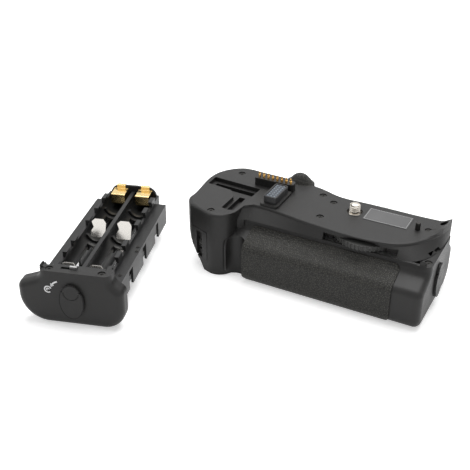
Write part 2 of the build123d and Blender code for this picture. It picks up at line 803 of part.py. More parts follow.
def screw_set(spots_list, head_z, direction, length):
    """Pan-head screws of one kind, heads at one height, shanks along the direction."""
    with BuildPart() as screws:
        with BuildSketch(Plane.XY.offset(head_z)):
            with Locations(*spots_list):
                Circle(screw_head_radius)
        extrude(amount=direction * screw_head_height)
        with BuildSketch(Plane.XY.offset(head_z)):
            with Locations(*spots_list):
                Rectangle(screw_head_radius * 1.2, edge_round / 2)
                Rectangle(edge_round / 2, screw_head_radius * 1.2)
        extrude(amount=direction * screw_head_height / 2, mode=Mode.SUBTRACT)
        with BuildSketch(Plane.XY.offset(head_z + direction * screw_head_height)):
            with Locations(*spots_list):
                Circle(screw_shank_radius)
        extrude(amount=direction * (length - screw_head_height))
    return screws.part


keep(screw_set(screw_spots, screw_head_top, -1, screw_length), "top_screws")
keep(screw_set(base_screw_spots, screw_sunk, 1, base_screw_length - screw_sunk), "base_screws")

# Front rubber: a grained skin over the shoulder, the front and the foot of the case
with BuildPart() as front_rubber_grip:
    skin_face = section(Plane.YZ.offset(rubber_left), seam_z, toe_radius, grow=skin)
    extrude(skin_face, amount=rubber_right - rubber_left)
    under_face = section(Plane.YZ.offset(rubber_left - overrun), seam_z + 2 * skin, toe_radius)
    extrude(under_face, amount=rubber_right - rubber_left + 2 * overrun, mode=Mode.SUBTRACT)
    with BuildSketch(Plane.XZ.offset(-flat_front - wall)):
        with Locations(((rubber_left + rubber_right) / 2, (rubber_top + rubber_foot) / 2)):
            RectangleRounded(rubber_right - rubber_left, rubber_top - rubber_foot, rubber_corner)
    extrude(amount=flat_front - section_front + 2 * overrun + skin, mode=Mode.INTERSECT)
keep(front_rubber_grip.part, "front_rubber_grip")

# Thumb rest: a soft mound on the deck's back rim that runs down the back of the case
with BuildPart() as thumb_rest:
    with BuildSketch(Plane((thumb_x, thumb_y, thumb_bottom))):
        Ellipse(thumb_half, thumb_half * thumb_depth_share)
    extrude(amount=case_height - thumb_bottom)
    with BuildSketch(Plane.XY.offset(thumb_bottom)):
        with BuildLine():
            Spline(*spots(back_shares))
            Polyline(
                spots(back_shares)[-1],
                (spots(back_shares)[-1][0], -case_depth),
                (spots(back_shares)[0][0], -case_depth),
                spots(back_shares)[0],
            )
        make_face()
    extrude(amount=case_height - thumb_bottom, mode=Mode.SUBTRACT)
    with BuildSketch(Plane((thumb_x, thumb_y, case_height), x_dir=(1, 0, 0), z_dir=(0, -1, 0))):
        with BuildLine():
            Spline(*[(thumb_half * out, thumb_rise * up) for out, up in thumb_shares], tangents=((1, 0), (1, 0)))
            Polyline((thumb_half, 0), (0, 0), (0, thumb_rise))
        make_face()
    mound = revolve(axis=Axis((thumb_x, thumb_y, case_height), (0, 0, 1)), mode=Mode.PRIVATE)
    middle = (thumb_x, thumb_y, case_height)
    add(scale(mound, by=(1, thumb_depth_share, 1), about=middle, mode=Mode.PRIVATE))
keep(thumb_rest.part, "thumb_rest")

# Base pad and the steel tripod socket that passes through it
with BuildPart() as base_pad:
    with BuildSketch(Plane.XY):
        with Locations((0, chamber_mid)):
            RectangleRounded(pad_length, pad_width, pad_corner)
        Circle(socket_radius, mode=Mode.SUBTRACT)
    extrude(amount=pad_thick)
keep(base_pad.part, "base_pad")

with BuildPart() as tripod_socket:
    with BuildSketch(Plane.XY):
        Circle(socket_radius)
        Circle(thread_radius, mode=Mode.SUBTRACT)
    extrude(amount=floor_thick - gap)
keep(tripod_socket.part, "tripod_socket")

# Command dial on the lobe's facet: window frame, ribbed dial and its axle
with BuildPart() as dial_window_frame:
    with BuildSketch(window_plane.offset(-window_thick)):
        Rectangle(window_width, window_height)
        Rectangle(dial_thick + 2 * gap, window_height - 2 * window_rim_z, mode=Mode.SUBTRACT)
    extrude(amount=window_thick + edge_round / 4)
keep(dial_window_frame.part, "dial_window_frame")

with BuildPart() as sub_command_dial:
    dial_face = ribbed_face(dial_plane.offset(-dial_thick / 2), dial_radius, dial_knurl_count, dial_knurl_depth)
    extrude(dial_face, amount=dial_thick)
    with BuildSketch(dial_plane.offset(-dial_thick / 2)):
        Circle(dial_axle_radius + running)
    extrude(amount=dial_thick, mode=Mode.SUBTRACT)
keep(sub_command_dial.part, "sub_command_dial")

with BuildPart() as sub_dial_axle:
    with BuildSketch(dial_plane.offset(-dial_axle_length / 2)):
        Circle(dial_axle_radius)
    extrude(amount=dial_axle_length)
keep(sub_dial_axle.part, "sub_dial_axle")

# Shutter release: button, its return spring and the lock collar round it
with BuildPart() as shutter_button:
    with BuildSketch(release_plane.offset(button_proud)):
        Circle(button_radius)
    extrude(amount=-button_thick)
    rims = shutter_button.edges().filter_by(GeomType.CIRCLE)
    fillet(rims.sort_by(Axis(release_plane.origin, release_out))[-1], edge_round)
    with BuildSketch(release_plane.offset(button_proud - button_thick)):
        Circle(button_stem_radius)
    extrude(amount=-(release_pocket + button_proud - button_thick - button_travel - gap))
keep(shutter_button.part, "shutter_button")

with BuildPart() as lock_collar:
    with BuildSketch(release_plane.offset(-collar_deep)):
        Circle(collar_outer)
        Circle(collar_inner, mode=Mode.SUBTRACT)
    extrude(amount=collar_deep + collar_proud)
    with BuildSketch(release_plane.offset(gap)):
        with Locations((0, collar_outer)):
            Rectangle(collar_tab, collar_tab)
    extrude(amount=collar_proud - gap)
keep(lock_collar.part, "lock_collar")

with BuildPart() as shutter_spring:
    spring_base = release_plane.offset(-release_pocket + spring_wire + running)
    spring_height = release_pocket + button_proud - button_thick - button_travel
    coil = Helix(
        pitch=spring_height / spring_turns,
        height=spring_height - 2 * spring_wire,
        radius=spring_radius,
        center=spring_base.origin,
        direction=spring_base.z_dir,
    )
    with BuildSketch(Plane(origin=coil @ 0, z_dir=coil % 0)):
        Circle(spring_wire)
    sweep(path=coil)
keep(shutter_spring.part, "shutter_spring")

# Rear controls: command dial, focus button and the tilting selector on its gimbal
with BuildPart() as main_command_dial:
    extrude(
        ribbed_face(
            rear_dial_plane.offset(-rear_dial_thick / 2), rear_dial_radius, dial_knurl_count, dial_knurl_depth,
        ),
        amount=rear_dial_thick,
    )
    with BuildSketch(rear_dial_plane.offset(-rear_dial_thick / 2)):
        Circle(dial_axle_radius + running)
    extrude(amount=rear_dial_thick, mode=Mode.SUBTRACT)
keep(main_command_dial.part, "main_command_dial")

with BuildPart() as main_dial_axle:
    with BuildSketch(rear_dial_plane.offset(-dial_axle_length / 2)):
        Circle(dial_axle_radius)
    extrude(amount=dial_axle_length)
keep(main_dial_axle.part, "main_dial_axle")

with BuildPart() as af_button:
    with BuildSketch(af_plane.offset(af_button_proud)):
        Circle(af_button_radius)
    extrude(amount=-(af_button_proud + af_button_deep))
    fillet(af_button.edges().sort_by(Axis.Y)[-1], edge_round / 2)
keep(af_button.part, "af_button")

gimbal_y = section_back - gimbal_depth
with BuildPart() as selector_gimbal:
    with BuildSketch(selector_plane.offset(-gimbal_depth - gimbal_thick / 2)):
        Circle(gimbal_outer)
        Circle(gimbal_inner, mode=Mode.SUBTRACT)
    extrude(amount=gimbal_thick)
    with BuildSketch(Plane.YZ.offset(selector_x - gimbal_pin_reach + gap)):
        with Locations((gimbal_y, selector_z)):
            Circle(gimbal_pin_radius)
    extrude(amount=2 * (gimbal_pin_reach - gap))
    with BuildSketch(selector_plane.offset(-gimbal_depth - gimbal_thick / 2)):
        Circle(gimbal_inner)
    extrude(amount=gimbal_thick, mode=Mode.SUBTRACT)
    with BuildSketch(Plane.XY.offset(selector_z - gimbal_outer - overrun)):
        with Locations((selector_x, gimbal_y)):
            Circle(gimbal_pin_radius + running)
    extrude(amount=2 * (gimbal_outer + overrun), mode=Mode.SUBTRACT)
keep(selector_gimbal.part, "selector_gimbal")

with BuildPart() as selector_pad:
    with BuildSketch(selector_plane.offset(selector_proud)):
        Circle(selector_radius)
    extrude(amount=-selector_thick)
    fillet(selector_pad.edges().sort_by(Axis.Y)[-1], edge_round)
    with BuildSketch(selector_plane.offset(selector_proud - selector_thick)):
        Circle(selector_stem)
    extrude(amount=-(selector_proud - selector_thick + gimbal_depth + gimbal_pin_radius))
    with BuildSketch(Plane.XY.offset(selector_z - gimbal_outer)):
        with Locations((selector_x, gimbal_y)):
            Circle(gimbal_pin_radius)
    extrude(amount=2 * gimbal_outer)
keep(selector_pad.part, "selector_pad")

# Circuit board under the contact block, and the contacts at the chamber's inner end
with BuildPart() as circuit_board:
    with BuildSketch(Plane((board_x, board_y, seam_z - board_bed))):
        Rectangle(board_length, board_width)
    extrude(amount=board_thick)
keep(circuit_board.part, "circuit_board")


# Where a cap's own frame goes: inside the case, and beside it with its far end on the ground
housed = Location((mouth_x + cap_depth, chamber_mid, 0), (0, 0, 90))
lean = degrees(atan(frame_bottom / frame_length))
heel = Location((0, cap_depth, 0))
tipped = heel * Location((0, 0, 0), (-lean, 0, 0)) * heel.inverse()
standing = Location((stand_x, stand_y, 0), (0, 0, stand_yaw)) * tipped

latch_z = cap_height - latch_drop
latch_face = Plane(origin=(latch_u, 0, latch_z), x_dir=(1, 0, 0), z_dir=(0, -1, 0))
crank_radius_at = sqrt(2) * crank_reach
crank_disc_radius = crank_radius_at + crank_radius + gap
cap_screw_spots = ((-cap_screw_u, cap_screw_v), (cap_screw_u, cap_screw_v))
bolt_front = bolt_v - bolt_thick / 2
bolt_u = latch_u + crank_reach
cavity_left = bolt_u - bolt_body_width / 2 - bolt_travel - gap
cavity_right = bolt_u + bolt_body_width / 2 + gap
cavity_low = latch_z - crank_disc_radius - gap
cavity_high = cap_height - cap_shell
tongue_u = bolt_u + bolt_shift


def make_cap(toe):
    """An end cap: the case's section, hollowed for its latch."""
    with BuildPart() as cap:
        cap_plane = Plane(origin=(-chamber_mid, 0, 0), x_dir=(1, 0, 0), z_dir=(0, -1, 0))
        extrude(section(cap_plane, cap_height, toe), amount=-cap_depth)
        rims = cap.faces().sort_by(Axis.Y)[0].edges()
        fillet(rims.filter_by(lambda edge: edge.center().Z < cap_height - running), cap_round)
        with BuildSketch(latch_face.offset(overrun)):
            Circle(latch_shaft_radius + running)
        extrude(amount=-(cap_shell + 2 * overrun), mode=Mode.SUBTRACT)
        with BuildSketch(Plane.XZ.offset(-cap_shell)):
            with Locations(((cavity_left + cavity_right) / 2, (cavity_low + cavity_high) / 2)):
                Rectangle(cavity_right - cavity_left, cavity_high - cavity_low)
        extrude(amount=-(cap_depth - cap_shell), mode=Mode.SUBTRACT)
        with BuildSketch(Plane.XY.offset(cavity_high - overrun)):
            with Locations((tongue_u - bolt_travel / 2, bolt_v)):
                Rectangle(bolt_width + bolt_travel + 2 * gap, bolt_thick + 2 * gap)
        extrude(amount=cap_shell + 2 * overrun, mode=Mode.SUBTRACT)
        with BuildSketch(Plane.XY.offset(cap_height)):
            with Locations((0, (cap_flat_depth + cap_depth + overrun) / 2)):
                Rectangle(2 * frame_half, cap_depth + overrun - cap_flat_depth)
        extrude(amount=-cap_step, mode=Mode.SUBTRACT)
        with BuildSketch(Plane.XY.offset(cap_height)):
            with Locations(*cap_screw_spots):
                Circle(screw_head_radius + gap)
        extrude(amount=-(screw_sunk + screw_head_height), mode=Mode.SUBTRACT)
        with BuildSketch(Plane.XY.offset(cap_height)):
            with Locations(*cap_screw_spots):
                Circle(screw_shank_radius)
        extrude(amount=-(screw_sunk + screw_length), mode=Mode.SUBTRACT)
        # The ear at the flat's front end, that finds the case as the cap closes
        ear_u = flat_front - chamber_mid
        with BuildSketch(Plane.XZ.offset(-cap_flat_depth / 2)):
            with BuildLine():
                Polyline(
                    (ear_u, cap_height - cap_step),
                    (ear_u, cap_height + cap_ear_rise / 2),
                    (ear_u + cap_ear_width / 3, cap_height + cap_ear_rise),
                    (ear_u + cap_ear_width / 2, cap_height + cap_ear_rise / 3),
                    (ear_u + cap_ear_width, cap_height),
                    (ear_u + cap_ear_width, cap_height - cap_step),
                    close=True,
                )
            make_face()
        extrude(amount=-cap_flat_depth / 2)
    return cap.part


def latch_outline(low, high):
    """The latch's oval between two heights, both measured from its turning axis."""
    with BuildSketch(latch_face.offset(latch_air)) as sketch:
        with Locations((0, latch_drop - latch_oval_drop)):
            Ellipse(latch_oval_width / 2, latch_oval_height / 2)
        with Locations((0, (low + high) / 2)):
            Rectangle(latch_oval_width, high - low, mode=Mode.INTERSECT)
    return sketch.sketch


def make_spindle():
    """The latch spindle: the head of the oval, the shaft, and the crank that drives the bolt."""
    with BuildPart() as spindle:
        extrude(latch_outline(2 * latch_pin_ear + running, latch_oval_height), amount=latch_plate)
        with BuildSketch(latch_face.offset(latch_air)):
            Circle(latch_head_radius)
        extrude(amount=latch_plate)
        with BuildSketch(Plane.YZ.offset(latch_u - latch_oval_width)):
            with Locations((-latch_air - latch_plate / 2, latch_z)):
                Circle(latch_pin_radius)
        extrude(amount=2 * latch_oval_width, mode=Mode.SUBTRACT)
        with BuildSketch(latch_face.offset(latch_air)):
            Circle(latch_shaft_radius)
        extrude(amount=-(latch_air + cap_shell + gap))
        with BuildSketch(latch_face.offset(-cap_shell - gap)):
            Circle(crank_disc_radius)
        extrude(amount=-(bolt_front - cap_shell - 2 * gap))
        with BuildSketch(latch_face.offset(-bolt_front + gap)):
            with Locations((crank_reach, crank_reach)):
                Circle(crank_radius)
        extrude(amount=-(bolt_thick + gap))
    return spindle.part


def make_flap():
    """The latch's folding handle: the lower part of the oval, with two ears for its pin."""
    with BuildPart() as flap:
        extrude(latch_outline(-latch_oval_height, latch_pin_ear), amount=latch_plate)
        with BuildSketch(latch_face.offset(latch_air)):
            Circle(latch_head_radius + gap)
        extrude(amount=latch_plate, mode=Mode.SUBTRACT)
        with BuildSketch(Plane.YZ.offset(latch_u - latch_oval_width)):
            with Locations((-latch_air - latch_plate / 2, latch_z)):
                Circle(latch_pin_radius + running)
        extrude(amount=2 * latch_oval_width, mode=Mode.SUBTRACT)
    return flap.part


def make_flap_pin():
    """The wire pin the handle folds on."""
    with BuildPart() as pin:
        with BuildSketch(Plane.YZ.offset(latch_u - latch_head_radius - edge_round)):
            with Locations((-latch_air - latch_plate / 2, latch_z)):
                Circle(latch_pin_radius)
        extrude(amount=2 * (latch_head_radius + edge_round))
    return pin.part


def make_bolt():
    """The steel bolt: a plate slotted for the crank, with the tongue that stands above the cap."""
    slot_low = crank_reach - crank_radius - crank_slack
    slot_high = crank_radius_at + crank_radius + crank_slack
    with BuildPart() as bolt:
        with BuildSketch(Plane.XZ.offset(-bolt_front)):
            with Locations((bolt_u, (latch_z + slot_low - overrun + cavity_high - gap) / 2)):
                Rectangle(bolt_body_width, cavity_high - gap - latch_z - slot_low + overrun)
            with Locations((tongue_u, (cavity_high - overrun + seam_z + bolt_rise - gap) / 2)):
                Rectangle(bolt_width, seam_z + bolt_rise - gap - cavity_high + overrun)
            with Locations((bolt_u, latch_z + (slot_low + slot_high) / 2)):
                Rectangle(2 * (crank_radius + crank_slack), slot_high - slot_low, mode=Mode.SUBTRACT)
        extrude(amount=-bolt_thick)
    return bolt.part


def make_cap_screws():
    """The two screws in a cap's flat."""
    return screw_set(cap_screw_spots, cap_height - screw_sunk, -1, screw_length)


# Battery holder inside the case: tray, end contacts, cap and latch
frame_end = cap_depth + frame_length
frame_mid_z = (frame_top + frame_bottom) / 2
terminal_count = 3
terminal_width = 6.0
terminal_height = 12.0
terminal_pitch = 9.0
terminal_thick = 0.5
contact_gap = frame_end + gap

with BuildPart() as holder_tray:
    with BuildSketch(Plane.XZ.offset(-cap_depth)):
        with Locations((0, frame_mid_z)):
            RectangleRounded(2 * frame_half, frame_top - frame_bottom, edge_round)
        with Locations((0, rail_top - rail_thick / 2)):
            Rectangle(2 * rail_half, rail_thick)
    extrude(amount=-frame_length)
    with BuildSketch(Plane.XY.offset(frame_bottom + holder_wall)):
        with Locations((0, cap_depth + frame_length / 2)):
            RectangleRounded(2 * (frame_half - holder_wall), frame_length - 2 * holder_wall, 2 * edge_round)
    extrude(amount=frame_top - frame_bottom, mode=Mode.SUBTRACT)
    with BuildSketch(Plane.XZ.offset(-frame_end)):
        with Locations((0, frame_mid_z)):
            with GridLocations(terminal_pitch, terminal_pitch, terminal_count, 1):
                Rectangle(terminal_width, terminal_height)
    extrude(amount=terminal_thick, mode=Mode.SUBTRACT)
keep(housed * holder_tray.part, "holder_tray")

with BuildPart() as holder_terminals:
    with BuildSketch(Plane.XZ.offset(-frame_end)):
        with Locations((0, frame_mid_z)):
            with GridLocations(terminal_pitch, terminal_pitch, terminal_count, 1):
                Rectangle(terminal_width, terminal_height)
    extrude(amount=terminal_thick)
keep(housed * holder_terminals.part, "holder_terminals")

# The contact block at the chamber's inner end, with sprung blades that meet the terminals
chamber_end_v = mouth_x + cap_depth - chamber_end_x
blade_thick = 0.3
block_thick = 4.0
with BuildPart() as chamber_contact_block:
    with BuildSketch(Plane.XZ.offset(-(chamber_end_v - block_thick))):
        with Locations((0, frame_mid_z)):
            Rectangle(terminal_count * terminal_pitch + terminal_width, frame_top - frame_bottom - 2 * wall)
    extrude(amount=-block_thick)
keep(housed * chamber_contact_block.part, "chamber_contact_block")

with BuildPart() as chamber_blades:
    with BuildSketch(Plane.YZ.offset(-terminal_width / 4)):
        with BuildLine():
            blade_low = (chamber_end_v - block_thick, frame_bottom + terminal_height / 2)
            blade_mid = (contact_gap + blade_thick / 2, frame_mid_z)
            blade_high = (chamber_end_v - block_thick, frame_top - terminal_height / 2)
            ThreePointArc(blade_low, blade_mid, blade_high)
            Line(blade_high, (blade_high[0], blade_high[1] - 2 * blade_thick))
            ThreePointArc(
                (blade_high[0], blade_high[1] - 2 * blade_thick),
                (blade_mid[0] + blade_thick, blade_mid[1]),
                (blade_low[0], blade_low[1] + 2 * blade_thick),
            )
            Line((blade_low[0], blade_low[1] + 2 * blade_thick), blade_low)
        make_face()
    blade = extrude(amount=terminal_width / 2, mode=Mode.PRIVATE)
    with GridLocations(terminal_pitch, terminal_pitch, terminal_count, 1):
        add(blade)
keep(housed * chamber_blades.part, "chamber_blades")

# Cell magazine beside the grip: four double troughs in one frame, on the chamber's rails
layer_low = frame_mid_z - cell_radius - gap / 2
layer_high = frame_mid_z + cell_radius + gap / 2
trough_start = cap_depth + holder_wall
trough_end = trough_start + trough_length
column_u = cell_pitch / 2
side_wall = 1.3
core_half = column_u + cell_radius + side_wall
core_top = rail_top + 2 * side_wall
centre_top = frame_top - 3.0 * side_wall
centre_thick = 2.4
skirt_thick = 1.4
skirt_drop = 13.0
skirt_shares = (0.0, 0.17, 0.24, 0.45, 0.52, 0.72, 0.8, 1.0)
rail_length = frame_length * 0.93
arch_half = 15.5
arch_round = 7.0
arch_thick = holder_wall
lug_shares = (0.04, 0.2, 0.33, 0.58, 0.74, 0.88)
lug_length = 7.0
lug_rise = 3.4
window_shares = ((0.16, 0.45), (0.55, 0.8))
window_half = 4.6
saddle_thick = 2.4
saddle_rise = 4.0
saddle_shares = (0.12, 0.5, 0.84)
rail_screw_shares = ((0.86, 0.1), (0.93, 0.38), (0.9, 0.43))
columns = (-column_u, column_u)

with BuildPart() as magazine_frame:
    # The core, its upright ends, the thin wall between the columns and the rails
    with BuildSketch(Plane.XZ.offset(-cap_depth)):
        with Locations((0, (core_top + frame_bottom) / 2)):
            Rectangle(2 * core_half, core_top - frame_bottom)
        with Locations((0, (centre_top + frame_bottom) / 2)):
            Rectangle(centre_thick, centre_top - frame_bottom)
    extrude(amount=-frame_length)
    for start, corner in ((cap_depth, edge_round), (frame_end - arch_thick, arch_round)):
        with BuildSketch(Plane.XZ.offset(-start)):
            with Locations((0, frame_mid_z)):
                RectangleRounded(2 * arch_half, frame_top - frame_bottom, corner)
        extrude(amount=-arch_thick)
    with BuildSketch(Plane.XY.offset(rail_top - rail_thick)):
        with Locations((0, cap_depth + rail_length / 2)):
            Rectangle(2 * rail_half, rail_length)
    extrude(amount=rail_thick)
    # Skirts hang from the rails in separate tabs, and lugs stand on the core's walls
    for first, last in zip(skirt_shares[::2], skirt_shares[1::2]):
        with BuildSketch(Plane.XY.offset(rail_top - skirt_drop)):
            for side in (-1, 1):
                with Locations((side * (rail_half - skirt_thick / 2), cap_depth + rail_length * (first + last) / 2)):
                    Rectangle(skirt_thick, rail_length * (last - first))
        extrude(amount=skirt_drop)
    for share in lug_shares:
        with BuildSketch(Plane.XY.offset(core_top - side_wall)):
            for side in (-1, 1):
                with Locations((side * (core_half - side_wall), trough_start + trough_length * share)):
                    Rectangle(2 * side_wall, lug_length)
        extrude(amount=side_wall + lug_rise)
    # The troughs, the upper pair open above and the lower pair open below
    with BuildSketch(Plane.XZ.offset(-trough_start)):
        for column in columns:
            with Locations((column, layer_low), (column, layer_high)):
                Circle(cell_radius)
            with Locations((column, (frame_top + layer_high + overrun) / 2)):
                Rectangle(2 * cell_radius - 2 * side_wall, frame_top - layer_high + overrun)
            with Locations((column, (frame_bottom + layer_low - overrun) / 2)):
                Rectangle(2 * cell_radius - 2 * side_wall, layer_low - frame_bottom + overrun)
    extrude(amount=-trough_length, mode=Mode.SUBTRACT)
    # Windows through the floor between the layers, and through the core's side walls
    for first, last in window_shares:
        window_v = trough_start + trough_length * (first + last) / 2
        window_long = trough_length * (last - first)
        with BuildSketch(Plane.XY.offset(layer_low)):
            for column in columns:
                with Locations((column, window_v)):
                    Rectangle(2 * window_half, window_long)
        extrude(amount=layer_high - layer_low, mode=Mode.SUBTRACT)
        for side in (-1, 1):
            with BuildSketch(Plane.YZ.offset(side * (core_half + overrun))):
                with Locations((window_v, layer_low)):
                    Rectangle(window_long - 2 * lug_length, cell_radius)
            extrude(amount=-side * (side_wall + 2 * overrun), mode=Mode.SUBTRACT)
    # Saddles keep each cell's ends in place
    for share in saddle_shares:
        with BuildSketch(Plane.XZ.offset(-(trough_start + trough_length * share - saddle_thick / 2))):
            for column in columns:
                for layer, way in ((layer_low, 1), (layer_high, -1)):
                    with Locations((column, layer)):
                        Circle(cell_radius + running)
                        Circle(cell_radius - wall, mode=Mode.SUBTRACT)
            with Locations((0, frame_mid_z)):
                Rectangle(2 * core_half - side_wall, 2 * saddle_rise + 2 * wall, mode=Mode.INTERSECT)
        extrude(amount=-saddle_thick)
keep(standing * magazine_frame.part, "magazine_frame")

# Its plated leads: gold springs folded over the far end, nickel leaves at the near ends
lead_thick = 0.4
lead_width = 9.0
tab_width = 5.6
leaf_reach = 4.5
leaf_foot = 3.0
fold_drop = 2.6
fold_reach = 8.0
plate_drop = 6.5


def lead_strip(points, width, radius):
    """A strip of lead folded along a path in the side view, across both columns."""
    with BuildPart() as strip:
        for column in columns:
            with BuildSketch(Plane.YZ.offset(column - width / 2)):
                with BuildLine() as path:
                    FilletPolyline(*points, radius=radius)
                trace(path.line, line_width=lead_thick)
            extrude(amount=width)
    return strip.part


with BuildPart() as magazine_gold_contacts:
    tab_z = frame_top + lead_thick / 2
    face_v = trough_end - lead_thick / 2
    add(lead_strip(((frame_end, tab_z), (face_v, tab_z), (face_v, tab_z - fold_drop)), tab_width, lead_thick * 0.51))
    add(lead_strip(
        (
            (face_v, tab_z - fold_drop + lead_thick),
            (face_v, tab_z - fold_drop),
            (face_v - fold_reach, tab_z - fold_drop - lead_thick),
            (face_v - fold_reach, tab_z - fold_drop - plate_drop),
            (face_v - fold_reach / 2, tab_z - fold_drop - plate_drop - leaf_foot),
            (face_v, layer_high - cell_radius / 2),
        ),
        lead_width, lead_thick,
    ))
    with BuildSketch(Plane.XZ.offset(-trough_end)):
        with Locations(*[(column, layer_low) for column in columns]):
            Rectangle(tab_width, cell_radius)
    extrude(amount=lead_thick)
keep(standing * magazine_gold_contacts.part, "magazine_gold_contacts")

leaf_shares = (
    (-0.5, 0.0), (-0.5, 0.42), (-0.34, 0.6), (-0.52, 0.86),
    (-0.3, 1.0), (0.28, 1.0), (0.5, 0.8), (0.5, 0.0),
)
leaf_height = 2 * cell_radius - 2 * wall
mid_saddle_end = trough_start + trough_length * saddle_shares[1] + saddle_thick / 2
leaf_starts = (trough_start + lead_thick / 2, mid_saddle_end + lead_thick / 2)
with BuildPart() as magazine_silver_contacts:
    for start in leaf_starts:
        base_z = layer_high - cell_radius + wall
        leaning = lead_strip(
            ((start, base_z), (start, base_z + wall), (start + leaf_reach, base_z + leaf_height)),
            lead_width,
            lead_thick,
        )
        with BuildSketch(Plane.XZ.offset(-start + overrun), mode=Mode.PRIVATE) as leaf_face:
            for column in columns:
                with BuildLine():
                    leaf = [(column + x * lead_width, base_z + z * leaf_height) for x, z in leaf_shares]
                    Polyline(*leaf, close=True)
                make_face()
        add(leaning & extrude(leaf_face.sketch, amount=-2 * leaf_reach - overrun, mode=Mode.PRIVATE))
        with BuildSketch(Plane.XZ.offset(-start + lead_thick / 2)):
            with Locations(*[(column, layer_low) for column in columns]):
                Rectangle(lead_width, cell_radius)
        extrude(amount=-lead_thick)
keep(standing * magazine_silver_contacts.part, "magazine_silver_contacts")

# Small screws that hold the frame's two halves together
rail_screws = [(u * rail_half, cap_depth + rail_length * v) for u, v in rail_screw_shares]
rail_screw_scale = 0.6
with BuildPart() as magazine_frame_screws:
    with BuildSketch(Plane.XY.offset(rail_top)):
        with Locations(*rail_screws):
            Circle(screw_head_radius * rail_screw_scale)
            Circle(screw_shank_radius / 2, mode=Mode.SUBTRACT)
    extrude(amount=lead_thick)
    with BuildSketch(Plane.XY.offset(rail_top)):
        with Locations(*rail_screws):
            Circle(screw_head_radius * rail_screw_scale)
    extrude(amount=lead_thick / 2)
keep(standing * magazine_frame_screws.part, "magazine_frame_screws")

for name, place, toe in (("holder", housed, toe_radius), ("magazine", standing, magazine_toe)):
    keep(place * make_cap(toe), f"{name}_cap")
    keep(place * make_spindle(), f"{name}_latch_spindle")
    keep(place * make_flap(), f"{name}_latch_flap")
    keep(place * make_flap_pin(), f"{name}_latch_pin")
    keep(place * make_bolt(), f"{name}_latch_bolt")
    keep(place * make_cap_screws(), f"{name}_cap_screws")
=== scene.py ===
# A camera battery grip on a pale table, with its cell magazine standing beside it
from math import atan, cos, pi, radians, sin

import bmesh
import bpy
from mathutils import Matrix, Vector


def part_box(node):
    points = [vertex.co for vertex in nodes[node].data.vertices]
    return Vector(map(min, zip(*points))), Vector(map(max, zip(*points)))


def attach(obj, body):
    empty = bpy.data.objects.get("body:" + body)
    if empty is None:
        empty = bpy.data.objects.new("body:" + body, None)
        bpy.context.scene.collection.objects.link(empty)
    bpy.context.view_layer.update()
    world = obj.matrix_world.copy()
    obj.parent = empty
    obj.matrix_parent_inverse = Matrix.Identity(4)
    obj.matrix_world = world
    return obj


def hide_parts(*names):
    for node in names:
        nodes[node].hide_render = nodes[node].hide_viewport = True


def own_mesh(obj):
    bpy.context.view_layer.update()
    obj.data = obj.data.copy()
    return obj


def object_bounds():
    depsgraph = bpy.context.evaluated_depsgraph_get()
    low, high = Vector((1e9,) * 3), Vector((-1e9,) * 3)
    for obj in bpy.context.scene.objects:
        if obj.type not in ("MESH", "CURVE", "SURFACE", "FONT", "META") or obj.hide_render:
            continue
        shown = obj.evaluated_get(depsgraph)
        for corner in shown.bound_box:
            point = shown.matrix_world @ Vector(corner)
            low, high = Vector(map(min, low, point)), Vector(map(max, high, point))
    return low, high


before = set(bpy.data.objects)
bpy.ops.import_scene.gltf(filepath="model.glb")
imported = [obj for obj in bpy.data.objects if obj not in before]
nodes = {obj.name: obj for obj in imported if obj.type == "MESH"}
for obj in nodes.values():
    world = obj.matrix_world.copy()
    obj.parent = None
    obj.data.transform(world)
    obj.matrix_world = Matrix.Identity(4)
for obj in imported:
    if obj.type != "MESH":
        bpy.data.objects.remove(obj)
cad_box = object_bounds()

# Table, lamps and camera
# A seamless pale sweep under soft, wide lamps, as in a catalogue photograph.
# The camera stands in front and to the right, and looks about 32 degrees down.
scene = bpy.context.scene
scene.view_settings.view_transform = "Standard"
crease_angle = radians(32)
specular_level = 0.28


def new_material(name):
    """An empty node material with its shader, its output and the Object coordinates."""
    material = bpy.data.materials.new(name)
    material.use_nodes = True
    tree = material.node_tree
    tree.nodes.clear()
    output = tree.nodes.new("ShaderNodeOutputMaterial")
    shader = tree.nodes.new("ShaderNodeBsdfPrincipled")
    shader.inputs["Specular IOR Level"].default_value = specular_level
    place = tree.nodes.new("ShaderNodeTexCoord")
    tree.links.new(shader.outputs["BSDF"], output.inputs["Surface"])
    return material, tree, shader, place


def make_piece(form, name, material):
    """Turn a finished bmesh into a named object with one material, smooth up to its real edges."""
    mesh = bpy.data.meshes.new(name)
    form.to_mesh(mesh)
    form.free()
    mesh.shade_smooth()
    mesh.set_sharp_from_angle(angle=crease_angle)
    piece = bpy.data.objects.new(name, mesh)
    scene.collection.objects.link(piece)
    mesh.materials.append(material)
    return piece


floor_size = 6.0
floor_form = bmesh.new()
bmesh.ops.create_grid(floor_form, x_segments=1, y_segments=1, size=floor_size / 2)
bmesh.ops.translate(floor_form, vec=(0, 0, cad_box[0][2]), verts=floor_form.verts)
floor_paint, tree, shader, _ = new_material("floor_paint")
shader.inputs["Base Color"].default_value = (0.9, 0.9, 0.9, 1)
shader.inputs["Roughness"].default_value = 0.9
shader.inputs["Specular IOR Level"].default_value = 0.0
shader.inputs["Emission Color"].default_value = (1, 1, 1, 1)


